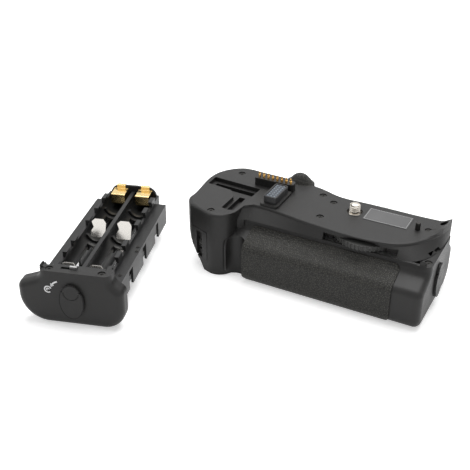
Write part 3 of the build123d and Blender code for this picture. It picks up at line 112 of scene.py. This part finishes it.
def seen_level(tree, base, gain, socket):
    """Set a strength that is higher for camera, glossy and transmission rays than for light."""
    rays = tree.nodes.new("ShaderNodeLightPath")
    seen_or_mirrored = tree.nodes.new("ShaderNodeMath")
    seen_or_mirrored.operation = "MAXIMUM"
    tree.links.new(rays.outputs["Is Camera Ray"], seen_or_mirrored.inputs[0])
    tree.links.new(rays.outputs["Is Glossy Ray"], seen_or_mirrored.inputs[1])
    any_sight = tree.nodes.new("ShaderNodeMath")
    any_sight.operation = "MAXIMUM"
    tree.links.new(seen_or_mirrored.outputs[0], any_sight.inputs[0])
    tree.links.new(rays.outputs["Is Transmission Ray"], any_sight.inputs[1])
    strength = tree.nodes.new("ShaderNodeMath")
    strength.operation = "MULTIPLY_ADD"
    strength.inputs[1].default_value = gain
    strength.inputs[2].default_value = base
    tree.links.new(any_sight.outputs[0], strength.inputs[0])
    tree.links.new(strength.outputs[0], socket)


seen_level(tree, 0, 0.45, shader.inputs["Emission Strength"])
floor = make_piece(floor_form, "floor", floor_paint)

world = bpy.data.worlds.new("studio")
scene.world = world
world.use_nodes = True
background = world.node_tree.nodes["Background"]
background.inputs["Color"].default_value = (1, 1, 1, 1)
seen_level(world.node_tree, 0.36, 0.64, background.inputs["Strength"])


def soft_lamp(name, place, aim, size, power):
    """A square lamp that points at one spot."""
    light = bpy.data.lights.new(name, "AREA")
    light.size = size
    light.energy = power
    lamp = bpy.data.objects.new(name, light)
    lamp.location = place
    lamp.rotation_euler = (Vector(aim) - Vector(place)).to_track_quat("-Z", "Y").to_euler()
    scene.collection.objects.link(lamp)


soft_lamp("lamp_above", (-0.1, 0.3, 1.0), (-0.03, -0.05, 0), 0.9, 13)
soft_lamp("lamp_left", (-0.9, -0.35, 0.6), (-0.05, -0.05, 0.02), 0.6, 1.6)
soft_lamp("lamp_right", (0.8, -0.6, 0.6), (0, -0.05, 0.02), 0.6, 0.8)

sensor_width = 36
picture_pixels = 470
focal_pixels = 857.7
camera_data = bpy.data.cameras.new("camera")
camera_data.sensor_width = sensor_width
camera_data.lens = sensor_width * focal_pixels / picture_pixels
camera = bpy.data.objects.new("camera", camera_data)
camera.location = (0.1414, -0.4217, 0.2961)
camera.rotation_euler = (radians(58.37), 0, radians(27.7))
scene.collection.objects.link(camera)
scene.camera = camera

# Moulded shell: the two case halves, both end caps and the small plastic parts on them
# Black polycarbonate from spark-eroded moulds, so it has a fine, even grain,
# slightly shinier where hands rub it.
shell_colour = (0.015, 0.0146, 0.0142)
shell_grain = 0.00035
cloud_scale = 45
cloud_low, cloud_high = 0.3, 0.7
cloud_dark, cloud_light = 0.86, 1.16
polish_range = 0.06


def moulded_plastic(name, colour, grain, roughness, depth):
    """Moulded plastic with a fine grain, faint clouds of shade and rubbed spots."""
    material, tree, shader, place = new_material(name)
    fine = tree.nodes.new("ShaderNodeTexNoise")
    fine.inputs["Scale"].default_value = 1 / grain
    fine.inputs["Detail"].default_value = 3
    tree.links.new(place.outputs["Object"], fine.inputs["Vector"])
    clouds = tree.nodes.new("ShaderNodeTexNoise")
    clouds.inputs["Scale"].default_value = cloud_scale
    clouds.inputs["Detail"].default_value = 4
    tree.links.new(place.outputs["Object"], clouds.inputs["Vector"])
    shade = tree.nodes.new("ShaderNodeValToRGB")
    shade.color_ramp.elements[0].position = cloud_low
    shade.color_ramp.elements[0].color = (*[c * cloud_dark for c in colour], 1)
    shade.color_ramp.elements[1].position = cloud_high
    shade.color_ramp.elements[1].color = (*[c * cloud_light for c in colour], 1)
    tree.links.new(clouds.outputs["Fac"], shade.inputs["Fac"])
    tree.links.new(shade.outputs["Color"], shader.inputs["Base Color"])
    polish = tree.nodes.new("ShaderNodeMapRange")
    polish.inputs["From Min"].default_value = cloud_low
    polish.inputs["From Max"].default_value = cloud_high
    polish.inputs["To Min"].default_value = roughness - polish_range
    polish.inputs["To Max"].default_value = roughness + polish_range
    tree.links.new(clouds.outputs["Fac"], polish.inputs["Value"])
    tree.links.new(polish.outputs["Result"], shader.inputs["Roughness"])
    relief = tree.nodes.new("ShaderNodeBump")
    relief.inputs["Strength"].default_value = depth
    relief.inputs["Distance"].default_value = grain / 3
    tree.links.new(fine.outputs["Fac"], relief.inputs["Height"])
    tree.links.new(relief.outputs["Normal"], shader.inputs["Normal"])
    return material


def dress(material, *names):
    """Give CAD nodes their finish."""
    for name in names:
        mesh = nodes[name].data
        mesh.materials.clear()
        mesh.materials.append(material)


shell_plastic = moulded_plastic("shell_plastic", shell_colour, shell_grain, 0.46, 0.6)
dress(
    shell_plastic,
    "upper_shell", "lower_shell", "contact_block", "connector_plinth", "holder_cap", "magazine_cap",
    "lock_collar", "shutter_button",
    "holder_latch_flap", "holder_latch_spindle", "magazine_latch_flap", "magazine_latch_spindle",
)

# Surround of the front dial's window
# A thin moulding in the shell's plastic, seated in the opening.
# Its lower corner follows the leaning cut under the lobe.
lobe_cut_point = (-0.0975, 0, 0.027)
lobe_cut_facing = (-0.846, 0, -0.533)
weld_reach = 1e-7


def cut_copy(name, point, facing):
    """Copy a CAD node's form, take off what lies past a plane, and close the cut."""
    form = bmesh.new()
    form.from_mesh(nodes[name].data)
    bmesh.ops.remove_doubles(form, verts=form.verts, dist=weld_reach)
    cut = bmesh.ops.bisect_plane(
        form, geom=form.verts[:] + form.edges[:] + form.faces[:],
        plane_co=point, plane_no=facing, clear_outer=True,
    )
    rim = [item for item in cut["geom_cut"] if isinstance(item, bmesh.types.BMEdge)]
    bmesh.ops.holes_fill(form, edges=rim, sides=0)
    bmesh.ops.recalc_face_normals(form, faces=form.faces)
    return form


window_form = cut_copy("dial_window_frame", lobe_cut_point, lobe_cut_facing)
window_surround = make_piece(window_form, "window_surround", shell_plastic)
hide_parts("dial_window_frame")
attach(window_surround, "root")

# Flare in front of the ear: the deck's right edge sweeps up into the ear
# Part of the shell's moulding; it starts flush and grows to the ear's front face.
# Each spot gives a place along the edge, the edge's own x there, and the share of the rise.
flare_spots = (
    (0.0012, 0.05285, 1), (-0.0019, 0.0514, 0.55), (-0.0042, 0.0499, 0.28), (-0.0065, 0.0484, 0.12),
    (-0.0086, 0.04705, 0.04), (-0.0107, 0.0457, 0),
)
flare_width = 0.00635
flare_rise = 0.00247
flare_curve = 1.6
flare_steps = 8
flare_floor = 0.0408
deck_level = 0.042
flare_sunk = 0.00002
flare_form = bmesh.new()
bmesh.ops.create_grid(flare_form, x_segments=flare_steps, y_segments=len(flare_spots) - 1, size=0.5)
for corner in flare_form.verts:
    across = corner.co.x + 0.5
    along, edge_x, share = flare_spots[round((corner.co.y + 0.5) * (len(flare_spots) - 1))]
    height = deck_level - flare_sunk + flare_rise * share * across ** flare_curve
    corner.co = (edge_x - flare_width * (1 - across), along, height)
below = bmesh.ops.extrude_face_region(flare_form, geom=flare_form.faces[:])["geom"]
for corner in below:
    if isinstance(corner, bmesh.types.BMVert):
        corner.co.z = flare_floor
bmesh.ops.recalc_face_normals(flare_form, faces=flare_form.faces)
ear_flare = make_piece(flare_form, "ear_flare", shell_plastic)
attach(ear_flare, "root")

# Inner mouldings: the holder's tray, the magazine's frame, the selector's gimbal and the
# chamber's contact block
# Glass-filled black nylon, a little glossier than the case and without its grain.
frame_plastic = moulded_plastic("frame_plastic", (0.015, 0.015, 0.015), 0.0012, 0.4, 0.15)
dress(frame_plastic, "holder_tray", "magazine_frame", "chamber_contact_block", "selector_gimbal")

# Soft skins: the front grip, the thumb rest, the base pad and the selector's pad
# Cast elastomer with a small pebbled leather grain, glued in beds in the case.
grip_colour = (0.024, 0.0232, 0.0198)
pebble = 0.0011
pebble_crown = 0.28
# Painted shade and highlight: the creases get a darker copy of the rubber's colour, and the pebbles' crowns a
# lighter one.
crease_painted_shade, crown_painted_highlight = 0.2, 1.7


def pebbled_rubber(name, colour, pebble, roughness, depth):
    """Elastomer with rounded pebbles between fine creases, painted darker in the creases as shade and lighter
    on the crowns as highlight.
    """
    material, tree, shader, place = new_material(name)
    cells = tree.nodes.new("ShaderNodeTexVoronoi")
    cells.feature = "DISTANCE_TO_EDGE"
    cells.inputs["Scale"].default_value = 1 / pebble
    cells.inputs["Randomness"].default_value = 0.85
    tree.links.new(place.outputs["Object"], cells.inputs["Vector"])
    crown = tree.nodes.new("ShaderNodeMapRange")
    crown.interpolation_type = "SMOOTHSTEP"
    crown.inputs["From Max"].default_value = pebble_crown
    tree.links.new(cells.outputs["Distance"], crown.inputs["Value"])
    # The colour runs from painted shade in the creases to a painted highlight on each crown.
    shade = tree.nodes.new("ShaderNodeValToRGB")
    shade.color_ramp.elements[0].color = (*[c * crease_painted_shade for c in colour], 1)
    shade.color_ramp.elements[1].color = (*[c * crown_painted_highlight for c in colour], 1)
    tree.links.new(crown.outputs["Result"], shade.inputs["Fac"])
    tree.links.new(shade.outputs["Color"], shader.inputs["Base Color"])
    shader.inputs["Roughness"].default_value = roughness
    relief = tree.nodes.new("ShaderNodeBump")
    relief.inputs["Strength"].default_value = depth
    relief.inputs["Distance"].default_value = pebble / 6
    tree.links.new(crown.outputs["Result"], relief.inputs["Height"])
    tree.links.new(relief.outputs["Normal"], shader.inputs["Normal"])
    return material


grip_rubber = pebbled_rubber("grip_rubber", grip_colour, pebble, 0.5, 1)
dress(grip_rubber, "front_rubber_grip", "thumb_rest", "base_pad", "selector_pad")

# Ribbed wheels: the attachment wheel and the two command dials
# Plastic under a thin coat of dark rubber, shiny along the ribs; each turns on its own axle.
dial_rubber = moulded_plastic("dial_rubber", (0.06, 0.06, 0.058), 0.0006, 0.34, 0.3)
dress(dial_rubber, "sub_command_dial", "main_command_dial", "attachment_wheel")

# Connector cap: a soft moulding that keeps dust off the plug under it
# A black body with a sunk grey-blue field of small domes on top, and hollow below.
# It is pressed on by hand and pulls straight off.
cap_rubber = moulded_plastic("cap_rubber", (0.02, 0.02, 0.021), 0.0006, 0.45, 0.3)
field_rubber = moulded_plastic("field_rubber", (0.06, 0.068, 0.08), 0.0005, 0.36, 0.3)
dome_rubber = moulded_plastic("dome_rubber", (0.2, 0.225, 0.255), 0.0005, 0.36, 0.3)
cap_low, cap_high = (Vector(corner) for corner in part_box("connector_cap"))
cap_size = cap_high - cap_low
cap_middle = (cap_low + cap_high) / 2
cap_corner = 0.0014
cap_hollow_share = 0.55
skirt = 0.0013
field_rim = 0.0009
field_sunk = 0.0006
field_wall_draft = 0.00005
rim_round = 0.00018
sharp_angle = 0.9


def sink(form, facing, rim, depth):
    """Inset the face that looks one way, and push it into the body."""
    face = max(form.faces, key=lambda one: (one.normal.dot(facing) > 0.9) * one.calc_area())
    bmesh.ops.inset_region(form, faces=[face], thickness=rim)
    bmesh.ops.inset_region(form, faces=[face], thickness=field_wall_draft, depth=-depth)


cap_form = bmesh.new()
bmesh.ops.create_cube(cap_form, size=1)
bmesh.ops.scale(cap_form, vec=cap_size, verts=cap_form.verts)
uprights = [
    edge for edge in cap_form.edges
    if abs(edge.verts[0].co.z - edge.verts[1].co.z) > cap_size.z / 2
]
bmesh.ops.bevel(
    cap_form, geom=uprights, offset=cap_corner, segments=4, profile=0.5, affect="EDGES", material=-1,
)
cap_form.normal_update()
sink(cap_form, Vector((0, 0, 1)), field_rim, field_sunk)
sink(cap_form, Vector((0, 0, -1)), skirt, cap_size.z * cap_hollow_share)
bmesh.ops.recalc_face_normals(cap_form, faces=cap_form.faces)
rim_height = cap_size.z / 2 - field_sunk / 2
rim_edges = [
    edge for edge in cap_form.edges
    if edge.calc_face_angle(0) > sharp_angle and min(corner.co.z for corner in edge.verts) > rim_height
]
bmesh.ops.bevel(
    cap_form, geom=rim_edges, offset=rim_round, segments=2, profile=0.5, affect="EDGES", material=-1,
)
bmesh.ops.translate(cap_form, vec=cap_middle, verts=cap_form.verts)
cap_body = make_piece(cap_form, "connector_cap_body", cap_rubber)
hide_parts("connector_cap")
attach(cap_body, "connector_cap")

field_z = cap_high.z - field_sunk
field_thick = 0.0003
field_play = 0.0002
field_x = cap_size.x - 2 * field_rim - field_play
field_y = cap_size.y - 2 * field_rim - field_play
field_place = Matrix.Translation((cap_middle.x, cap_middle.y, field_z))
field_form = bmesh.new()
bmesh.ops.create_cube(
    field_form, size=1, matrix=field_place @ Matrix.Diagonal((field_x, field_y, field_thick, 1)),
)
cap_field = make_piece(field_form, "connector_cap_field", field_rubber)
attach(cap_field, "connector_cap")

dome_rows = 3
dome_count = 7
dome_radius = 0.0007
dome_space_x = field_x / dome_rows
dome_space_y = field_y / dome_count
dome_form = bmesh.new()
for row in range(dome_rows):
    for column in range(dome_count):
        spot = Matrix.Translation((
            cap_middle.x + (row - (dome_rows - 1) / 2) * dome_space_x,
            cap_middle.y + (column - (dome_count - 1) / 2) * dome_space_y,
            field_z,
        ))
        bmesh.ops.create_uvsphere(dome_form, u_segments=12, v_segments=6, radius=dome_radius, matrix=spot)
cap_domes = make_piece(dome_form, "connector_cap_domes", dome_rubber)
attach(cap_domes, "connector_cap")

# Steel parts inside: axles, the tripod socket, latch pins and latch bolts
# Bar and sheet steel, turned or blanked, and pressed into the mouldings.
metal_grain_scale = 2500
metal_grain_low, metal_grain_high = 0.25, 0.75
stain_share = 0.88
shine_range = 0.08
scratch_deep = 0.00001


def turned_metal(name, colour, roughness, scratch):
    """Bare metal with fine turning marks and a little staining."""
    material, tree, shader, place = new_material(name)
    shader.inputs["Metallic"].default_value = 1
    grain = tree.nodes.new("ShaderNodeTexNoise")
    grain.inputs["Scale"].default_value = metal_grain_scale
    grain.inputs["Detail"].default_value = 4
    tree.links.new(place.outputs["Object"], grain.inputs["Vector"])
    shade = tree.nodes.new("ShaderNodeValToRGB")
    shade.color_ramp.elements[0].position = metal_grain_low
    shade.color_ramp.elements[0].color = (*[c * stain_share for c in colour], 1)
    shade.color_ramp.elements[1].position = metal_grain_high
    shade.color_ramp.elements[1].color = (*colour, 1)
    tree.links.new(grain.outputs["Fac"], shade.inputs["Fac"])
    tree.links.new(shade.outputs["Color"], shader.inputs["Base Color"])
    shine = tree.nodes.new("ShaderNodeMapRange")
    shine.inputs["To Min"].default_value = roughness - shine_range
    shine.inputs["To Max"].default_value = roughness + shine_range
    tree.links.new(grain.outputs["Fac"], shine.inputs["Value"])
    tree.links.new(shine.outputs["Result"], shader.inputs["Roughness"])
    relief = tree.nodes.new("ShaderNodeBump")
    relief.inputs["Strength"].default_value = scratch
    relief.inputs["Distance"].default_value = scratch_deep
    tree.links.new(grain.outputs["Fac"], relief.inputs["Height"])
    tree.links.new(relief.outputs["Normal"], shader.inputs["Normal"])
    return material


steel = turned_metal("steel", (0.5, 0.5, 0.5), 0.35, 0.2)
dress(
    steel,
    "wheel_axle", "tripod_socket", "sub_dial_axle", "main_dial_axle", "holder_latch_pin",
    "magazine_latch_pin", "holder_latch_bolt", "magazine_latch_bolt",
)

# Return spring of the shutter release
# Wound from music wire, and held between the pocket's floor and the button.
press_way = Vector((0.8462328, 0, 0.5328133))
coil_form = bmesh.new()
coil_form.from_mesh(nodes["shutter_spring"].data)
bmesh.ops.remove_doubles(coil_form, verts=coil_form.verts, dist=weld_reach)
coil_seat = max((corner.co for corner in coil_form.verts), key=press_way.dot).copy()
release_coil = make_piece(coil_form, "release_coil", steel)
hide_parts("shutter_spring")
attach(release_coil, "root")
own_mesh(release_coil)

# Mechanism plate over the chamber, which carries the wheel and the mounting screw
# Blanked from steel sheet and fixed under the deck, with its end held inside the case.
plate_end = 0.0425
plate_form = cut_copy("mechanism_plate", (plate_end, 0, 0), (1, 0, 0))
plate_sheet = make_piece(plate_form, "mechanism_sheet", steel)
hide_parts("mechanism_plate")
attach(plate_sheet, "root")

# Nickel leads of the magazine
# Bent from sprung strip and plated; two lean up from each row of cells.
nickel = turned_metal("nickel", (0.88, 0.85, 0.8), 0.2, 0.1)
dress(nickel, "magazine_silver_contacts")

# Mounting screw: a quarter-inch thread on a collar, with its gear under the deck
# Turned from nickel-plated brass, with rolled crests and a domed end.
# The tip's steps give a share of the core's radius and a depth below the end.
thread_radius = 0.003175
thread_core = 0.0026
thread_pitch = 0.00127
thread_turns = 3.6
thread_steps = 32
thread_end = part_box("tripod_screw")[1][2]
core_steps = 48
collar_top = 0.0413
collar_cut = collar_top + 0.0001
core_foot = collar_top - 0.0002
thread_start = collar_top + 0.0002
tip_steps = ((1, 0.0009), (0.93, 0.0004), (0.7, 0.0001), (0, 0))
crest_foot = thread_core * 0.98
crest_profile = (
    (crest_foot, 0), (thread_radius, 0.0005), (thread_radius, 0.00068), (crest_foot, 0.00118),
)


def turned(profile, steps):
    """Spin a profile of radius and height once round, as on a lathe."""
    form = bmesh.new()
    points = [form.verts.new((radius, 0, height)) for radius, height in profile]
    lines = [form.edges.new(pair) for pair in zip(points, points[1:])]
    bmesh.ops.spin(
        form, geom=points + lines, axis=(0, 0, 1), cent=(0, 0, 0), dvec=(0, 0, 0), angle=2 * pi, steps=steps,
        use_merge=True, use_duplicate=False,
    )
    bmesh.ops.remove_doubles(form, verts=form.verts, dist=weld_reach)
    bmesh.ops.recalc_face_normals(form, faces=form.faces)
    return form


def add_form(form, other):
    """Put one bmesh's form into another, and free it."""
    mesh = bpy.data.meshes.new("added_form")
    other.to_mesh(mesh)
    other.free()
    form.from_mesh(mesh)
    bpy.data.meshes.remove(mesh)


screw_form = cut_copy("tripod_screw", (0, 0, collar_cut), (0, 0, 1))
core_profile = [(0, core_foot), (thread_core, core_foot)]
core_profile += [(thread_core * share, thread_end - below) for share, below in tip_steps]
add_form(screw_form, turned(core_profile, core_steps))
crest = [screw_form.verts.new((radius, 0, thread_start + height)) for radius, height in crest_profile]
crest_lines = [screw_form.edges.new(pair) for pair in zip(crest, crest[1:])]
ends = bmesh.ops.spin(
    screw_form, geom=crest + crest_lines, axis=(0, 0, 1), cent=(0, 0, 0),
    dvec=(0, 0, thread_pitch / thread_steps), angle=2 * pi * thread_turns,
    steps=round(thread_steps * thread_turns), use_merge=False, use_duplicate=False,
)
bmesh.ops.contextual_create(screw_form, geom=crest)
last_crest = [item for item in ends["geom_last"] if isinstance(item, bmesh.types.BMVert)]
bmesh.ops.contextual_create(screw_form, geom=last_crest)
bmesh.ops.recalc_face_normals(screw_form, faces=screw_form.faces)
screw_plate = turned_metal("screw_plate", (0.62, 0.58, 0.52), 0.3, 0.2)
mounting_screw = make_piece(screw_form, "mounting_screw", screw_plate)
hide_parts("tripod_screw")
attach(mounting_screw, "mounting_screw")

# Gold-plated contacts: the chamber's blades, the holder's terminals and the magazine's leads
# Phosphor bronze strip, bent cold, with a bright flash of gold.
gold = turned_metal("gold", (0.92, 0.7, 0.34), 0.2, 0.1)
dress(gold, "chamber_blades", "holder_terminals", "magazine_gold_contacts")

# Camera contacts: eight sprung pins in a row on the block
# Each is a plunger with a round tip in a thicker turned barrel, gold over brass.
# The outline's steps give a share of the radius, and a height from the barrel's or the pin's top.
pin_gold = turned_metal("pin_gold", (0.74, 0.46, 0.15), 0.24, 0.1)
pin_low, pin_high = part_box("contact_pins")
pin_count = 8
pin_facets = 16
pin_radius = (pin_high[1] - pin_low[1]) / 2
pin_pitch = (pin_high[0] - pin_low[0] - 2 * pin_radius) / (pin_count - 1)
plunger_proud = 0.0014
barrel_top = pin_high[2] - plunger_proud
barrel_steps = ((1, -0.0003), (0.85, 0), (0.55, 0.0001), (0.55, 0.0004), (0.74, 0.0007))
plunger_steps = ((0.7, -0.0003), (0.42, -0.00006), (0, 0))
pin_profile = [(0, pin_low[2]), (pin_radius, pin_low[2])]
pin_profile += [(pin_radius * share, barrel_top + height) for share, height in barrel_steps]
pin_profile += [(pin_radius * share, pin_high[2] + height) for share, height in plunger_steps]
pins_form = bmesh.new()
for index in range(pin_count):
    pin_form = turned(pin_profile, pin_facets)
    spot = (pin_low[0] + pin_radius + index * pin_pitch, (pin_low[1] + pin_high[1]) / 2, 0)
    bmesh.ops.translate(pin_form, vec=spot, verts=pin_form.verts)
    add_form(pins_form, pin_form)
sprung_pins = make_piece(pins_form, "sprung_pins", pin_gold)
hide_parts("contact_pins")
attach(sprung_pins, "pins")

# Focus button: a disc with a dished face, by the rear dial
# Moulded in the shell's plastic; pressed with the thumb, it slides in a bore in the lower case.
button_low, button_high = (Vector(corner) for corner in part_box("af_button"))
button_play = 0.00006
button_travel = 0.0008
button_edge = 0.0004
button_edge_soft = 0.0001
button_dish = 0.0003
dish_share = 0.7
button_facets = 64
button_radius = (button_high.x - button_low.x) / 2 - button_play
button_deep = button_high.y - button_low.y - button_travel
button_profile = (
    (0, 0), (button_radius, 0), (button_radius, button_deep - button_edge),
    (button_radius - button_edge_soft, button_deep - button_edge_soft),
    (button_radius - button_edge, button_deep),
    (button_radius * dish_share, button_deep - button_dish / 2), (0, button_deep - button_dish),
)
button_form = turned(button_profile, button_facets)
button_middle = (button_low + button_high) / 2
button_place = Matrix.Translation((button_middle.x, button_high.y - button_deep, button_middle.z))
button_place = button_place @ Matrix.Rotation(radians(-90), 4, "X")
bmesh.ops.transform(button_form, matrix=button_place, verts=button_form.verts)
focus_disc = make_piece(button_form, "focus_disc", shell_plastic)
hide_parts("af_button")
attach(focus_disc, "focus_button")

# Screws of the deck, the base, the caps and the magazine's frame, and the guide pin
# Steel with a black oxide finish, driven into bosses in the mouldings.
black_steel = turned_metal("black_steel", (0.045, 0.044, 0.042), 0.42, 0.2)
dress(
    black_steel,
    "top_screws", "base_screws", "holder_cap_screws", "magazine_cap_screws", "magazine_frame_screws",
    "guide_pin",
)

# Label on the deck: a dark satin foil, glued in a shallow bed
# It is bare inside its thin printed border.
label_foil = moulded_plastic("label_foil", (0.1, 0.1, 0.101), 0.0009, 0.35, 0.05)
dress(label_foil, "label_plate")
border_ink = moulded_plastic("border_ink", (0.45, 0.45, 0.45), 0.0009, 0.5, 0.05)
border_inset = 0.0005
border_line = 0.00025
border_thick = 0.00006
label_low, label_high = (Vector(corner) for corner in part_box("label_plate"))
border_x = label_high.x - label_low.x - 2 * border_inset
border_y = label_high.y - label_low.y - 2 * border_inset
border_spot = ((label_low.x + label_high.x) / 2, (label_low.y + label_high.y) / 2, label_high.z)
border_place = Matrix.Translation(border_spot) @ Matrix.Diagonal((border_x, border_y, border_thick, 1))
border_form = bmesh.new()
bmesh.ops.create_cube(border_form, size=1, matrix=border_place)
border_form.normal_update()
lid = [face for face in border_form.faces if abs(face.normal.z) > 0.9]
bmesh.ops.inset_region(border_form, faces=lid, thickness=border_line)
bmesh.ops.delete(border_form, geom=lid, context="FACES")
label_border = make_piece(border_form, "label_border", border_ink)
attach(label_border, "root")

# Lock mark on the magazine's cap: a hook in a ring and a turning arrow
# Pad-printed in white on the moulding, beside the latch.
# It is drawn flat, and then placed with the magazine, which leans a little on its cap.
mark_ink = moulded_plastic("mark_ink", (0.8, 0.8, 0.8), 0.0006, 0.5, 0.05)
magazine_spot = (-0.1141, -0.124, 0)
magazine_yaw = radians(16.9)
magazine_heel = 0.0087
magazine_lean = atan(0.0043 / 0.1056)
magazine_place = (
    Matrix.Translation(magazine_spot) @ Matrix.Rotation(magazine_yaw, 4, "Z")
    @ Matrix.Translation((0, magazine_heel, 0)) @ Matrix.Rotation(-magazine_lean, 4, "X")
    @ Matrix.Translation((0, -magazine_heel, 0))
)
mark_proud = 0.00002
mark_thick = 0.00003
ring_middle = (-0.0156, 0.0229)
arrow_middle = (-0.0083, 0.0228)
arrow_head_spot = (-0.0131, 0.0259)
arrow_head_radius = 0.0014
arrow_head_turn = radians(150)
mark_form = bmesh.new()


def stroke(form, middle, radius, width, start, turn, steps):
    """A flat printed stroke that bends round a middle point on the cap's face."""
    ends = [
        form.verts.new((middle[0] + reach * cos(start), -mark_proud, middle[1] + reach * sin(start)))
        for reach in (radius - width / 2, radius + width / 2)
    ]
    edge = form.edges.new(ends)
    bmesh.ops.spin(
        form, geom=[edge, *ends], axis=(0, -1, 0), cent=(middle[0], 0, middle[1]), dvec=(0, 0, 0), angle=turn,
        steps=steps, use_merge=False, use_duplicate=False,
    )


stroke(mark_form, ring_middle, 0.0019, 0.0007, radians(20), radians(290), 24)
stroke(mark_form, ring_middle, 0.0007, 0.0006, radians(0), radians(250), 16)
stroke(mark_form, arrow_middle, 0.0058, 0.0009, radians(105), radians(52), 12)
arrow_head_place = (
    Matrix.Translation((arrow_head_spot[0], -mark_proud, arrow_head_spot[1]))
    @ Matrix.Rotation(radians(90), 4, "X") @ Matrix.Rotation(arrow_head_turn, 4, "Z")
)
bmesh.ops.create_circle(
    mark_form, cap_ends=True, segments=3, radius=arrow_head_radius, matrix=arrow_head_place,
)
bmesh.ops.solidify(mark_form, geom=mark_form.faces[:], thickness=mark_thick)
bmesh.ops.recalc_face_normals(mark_form, faces=mark_form.faces)
bmesh.ops.transform(mark_form, matrix=magazine_place, verts=mark_form.verts)
lock_mark = make_piece(mark_form, "lock_mark", mark_ink)
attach(lock_mark, "magazine")

# Shadow line round the oval latch of the magazine's cap
# On the real cap the handle and the spindle's head lie in a groove, which shows as a dark line.
# Each half of the line stays with the part that it edges.
groove_shade = moulded_plastic("groove_shade", (0.002, 0.002, 0.002), 0.0006, 0.7, 0.05)
oval_middle = (-0.002, -0.001603, 0.0167)
oval_reach = (0.00715, 0.01095)
oval_facets = 72
line_width = 0.0005
line_thick = 0.000003
handle_end = 0.0232
head_start = 0.02375


def edge_line(name, body, split, facing):
    """A thin dark line along the oval's rim, kept on one side of a level."""
    form = bmesh.new()
    place = Matrix.Translation(oval_middle) @ Matrix.Rotation(radians(90), 4, "X")
    place = place @ Matrix.Diagonal((*oval_reach, 1, 1))
    bmesh.ops.create_circle(form, cap_ends=True, segments=oval_facets, radius=1, matrix=place)
    disc = form.faces[:]
    bmesh.ops.inset_region(form, faces=disc, thickness=line_width, use_boundary=True)
    bmesh.ops.delete(form, geom=disc, context="FACES")
    bmesh.ops.bisect_plane(
        form, geom=form.verts[:] + form.edges[:] + form.faces[:],
        plane_co=(0, 0, split), plane_no=(0, 0, facing), clear_outer=True,
    )
    bmesh.ops.solidify(form, geom=form.faces[:], thickness=line_thick)
    bmesh.ops.recalc_face_normals(form, faces=form.faces)
    bmesh.ops.transform(form, matrix=magazine_place, verts=form.verts)
    line = make_piece(form, name, groove_shade)
    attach(line, body)


edge_line("handle_line", "magazine_flap", handle_end, 1)
edge_line("head_line", "magazine_spindle", head_start, -1)

# Circuit board under the contact block
# Glass-fibre laminate with a green solder mask, held below the pins' feet.
board_mask = moulded_plastic("board_mask", (0.01, 0.09, 0.04), 0.002, 0.35, 0.1)
dress(board_mask, "circuit_board")
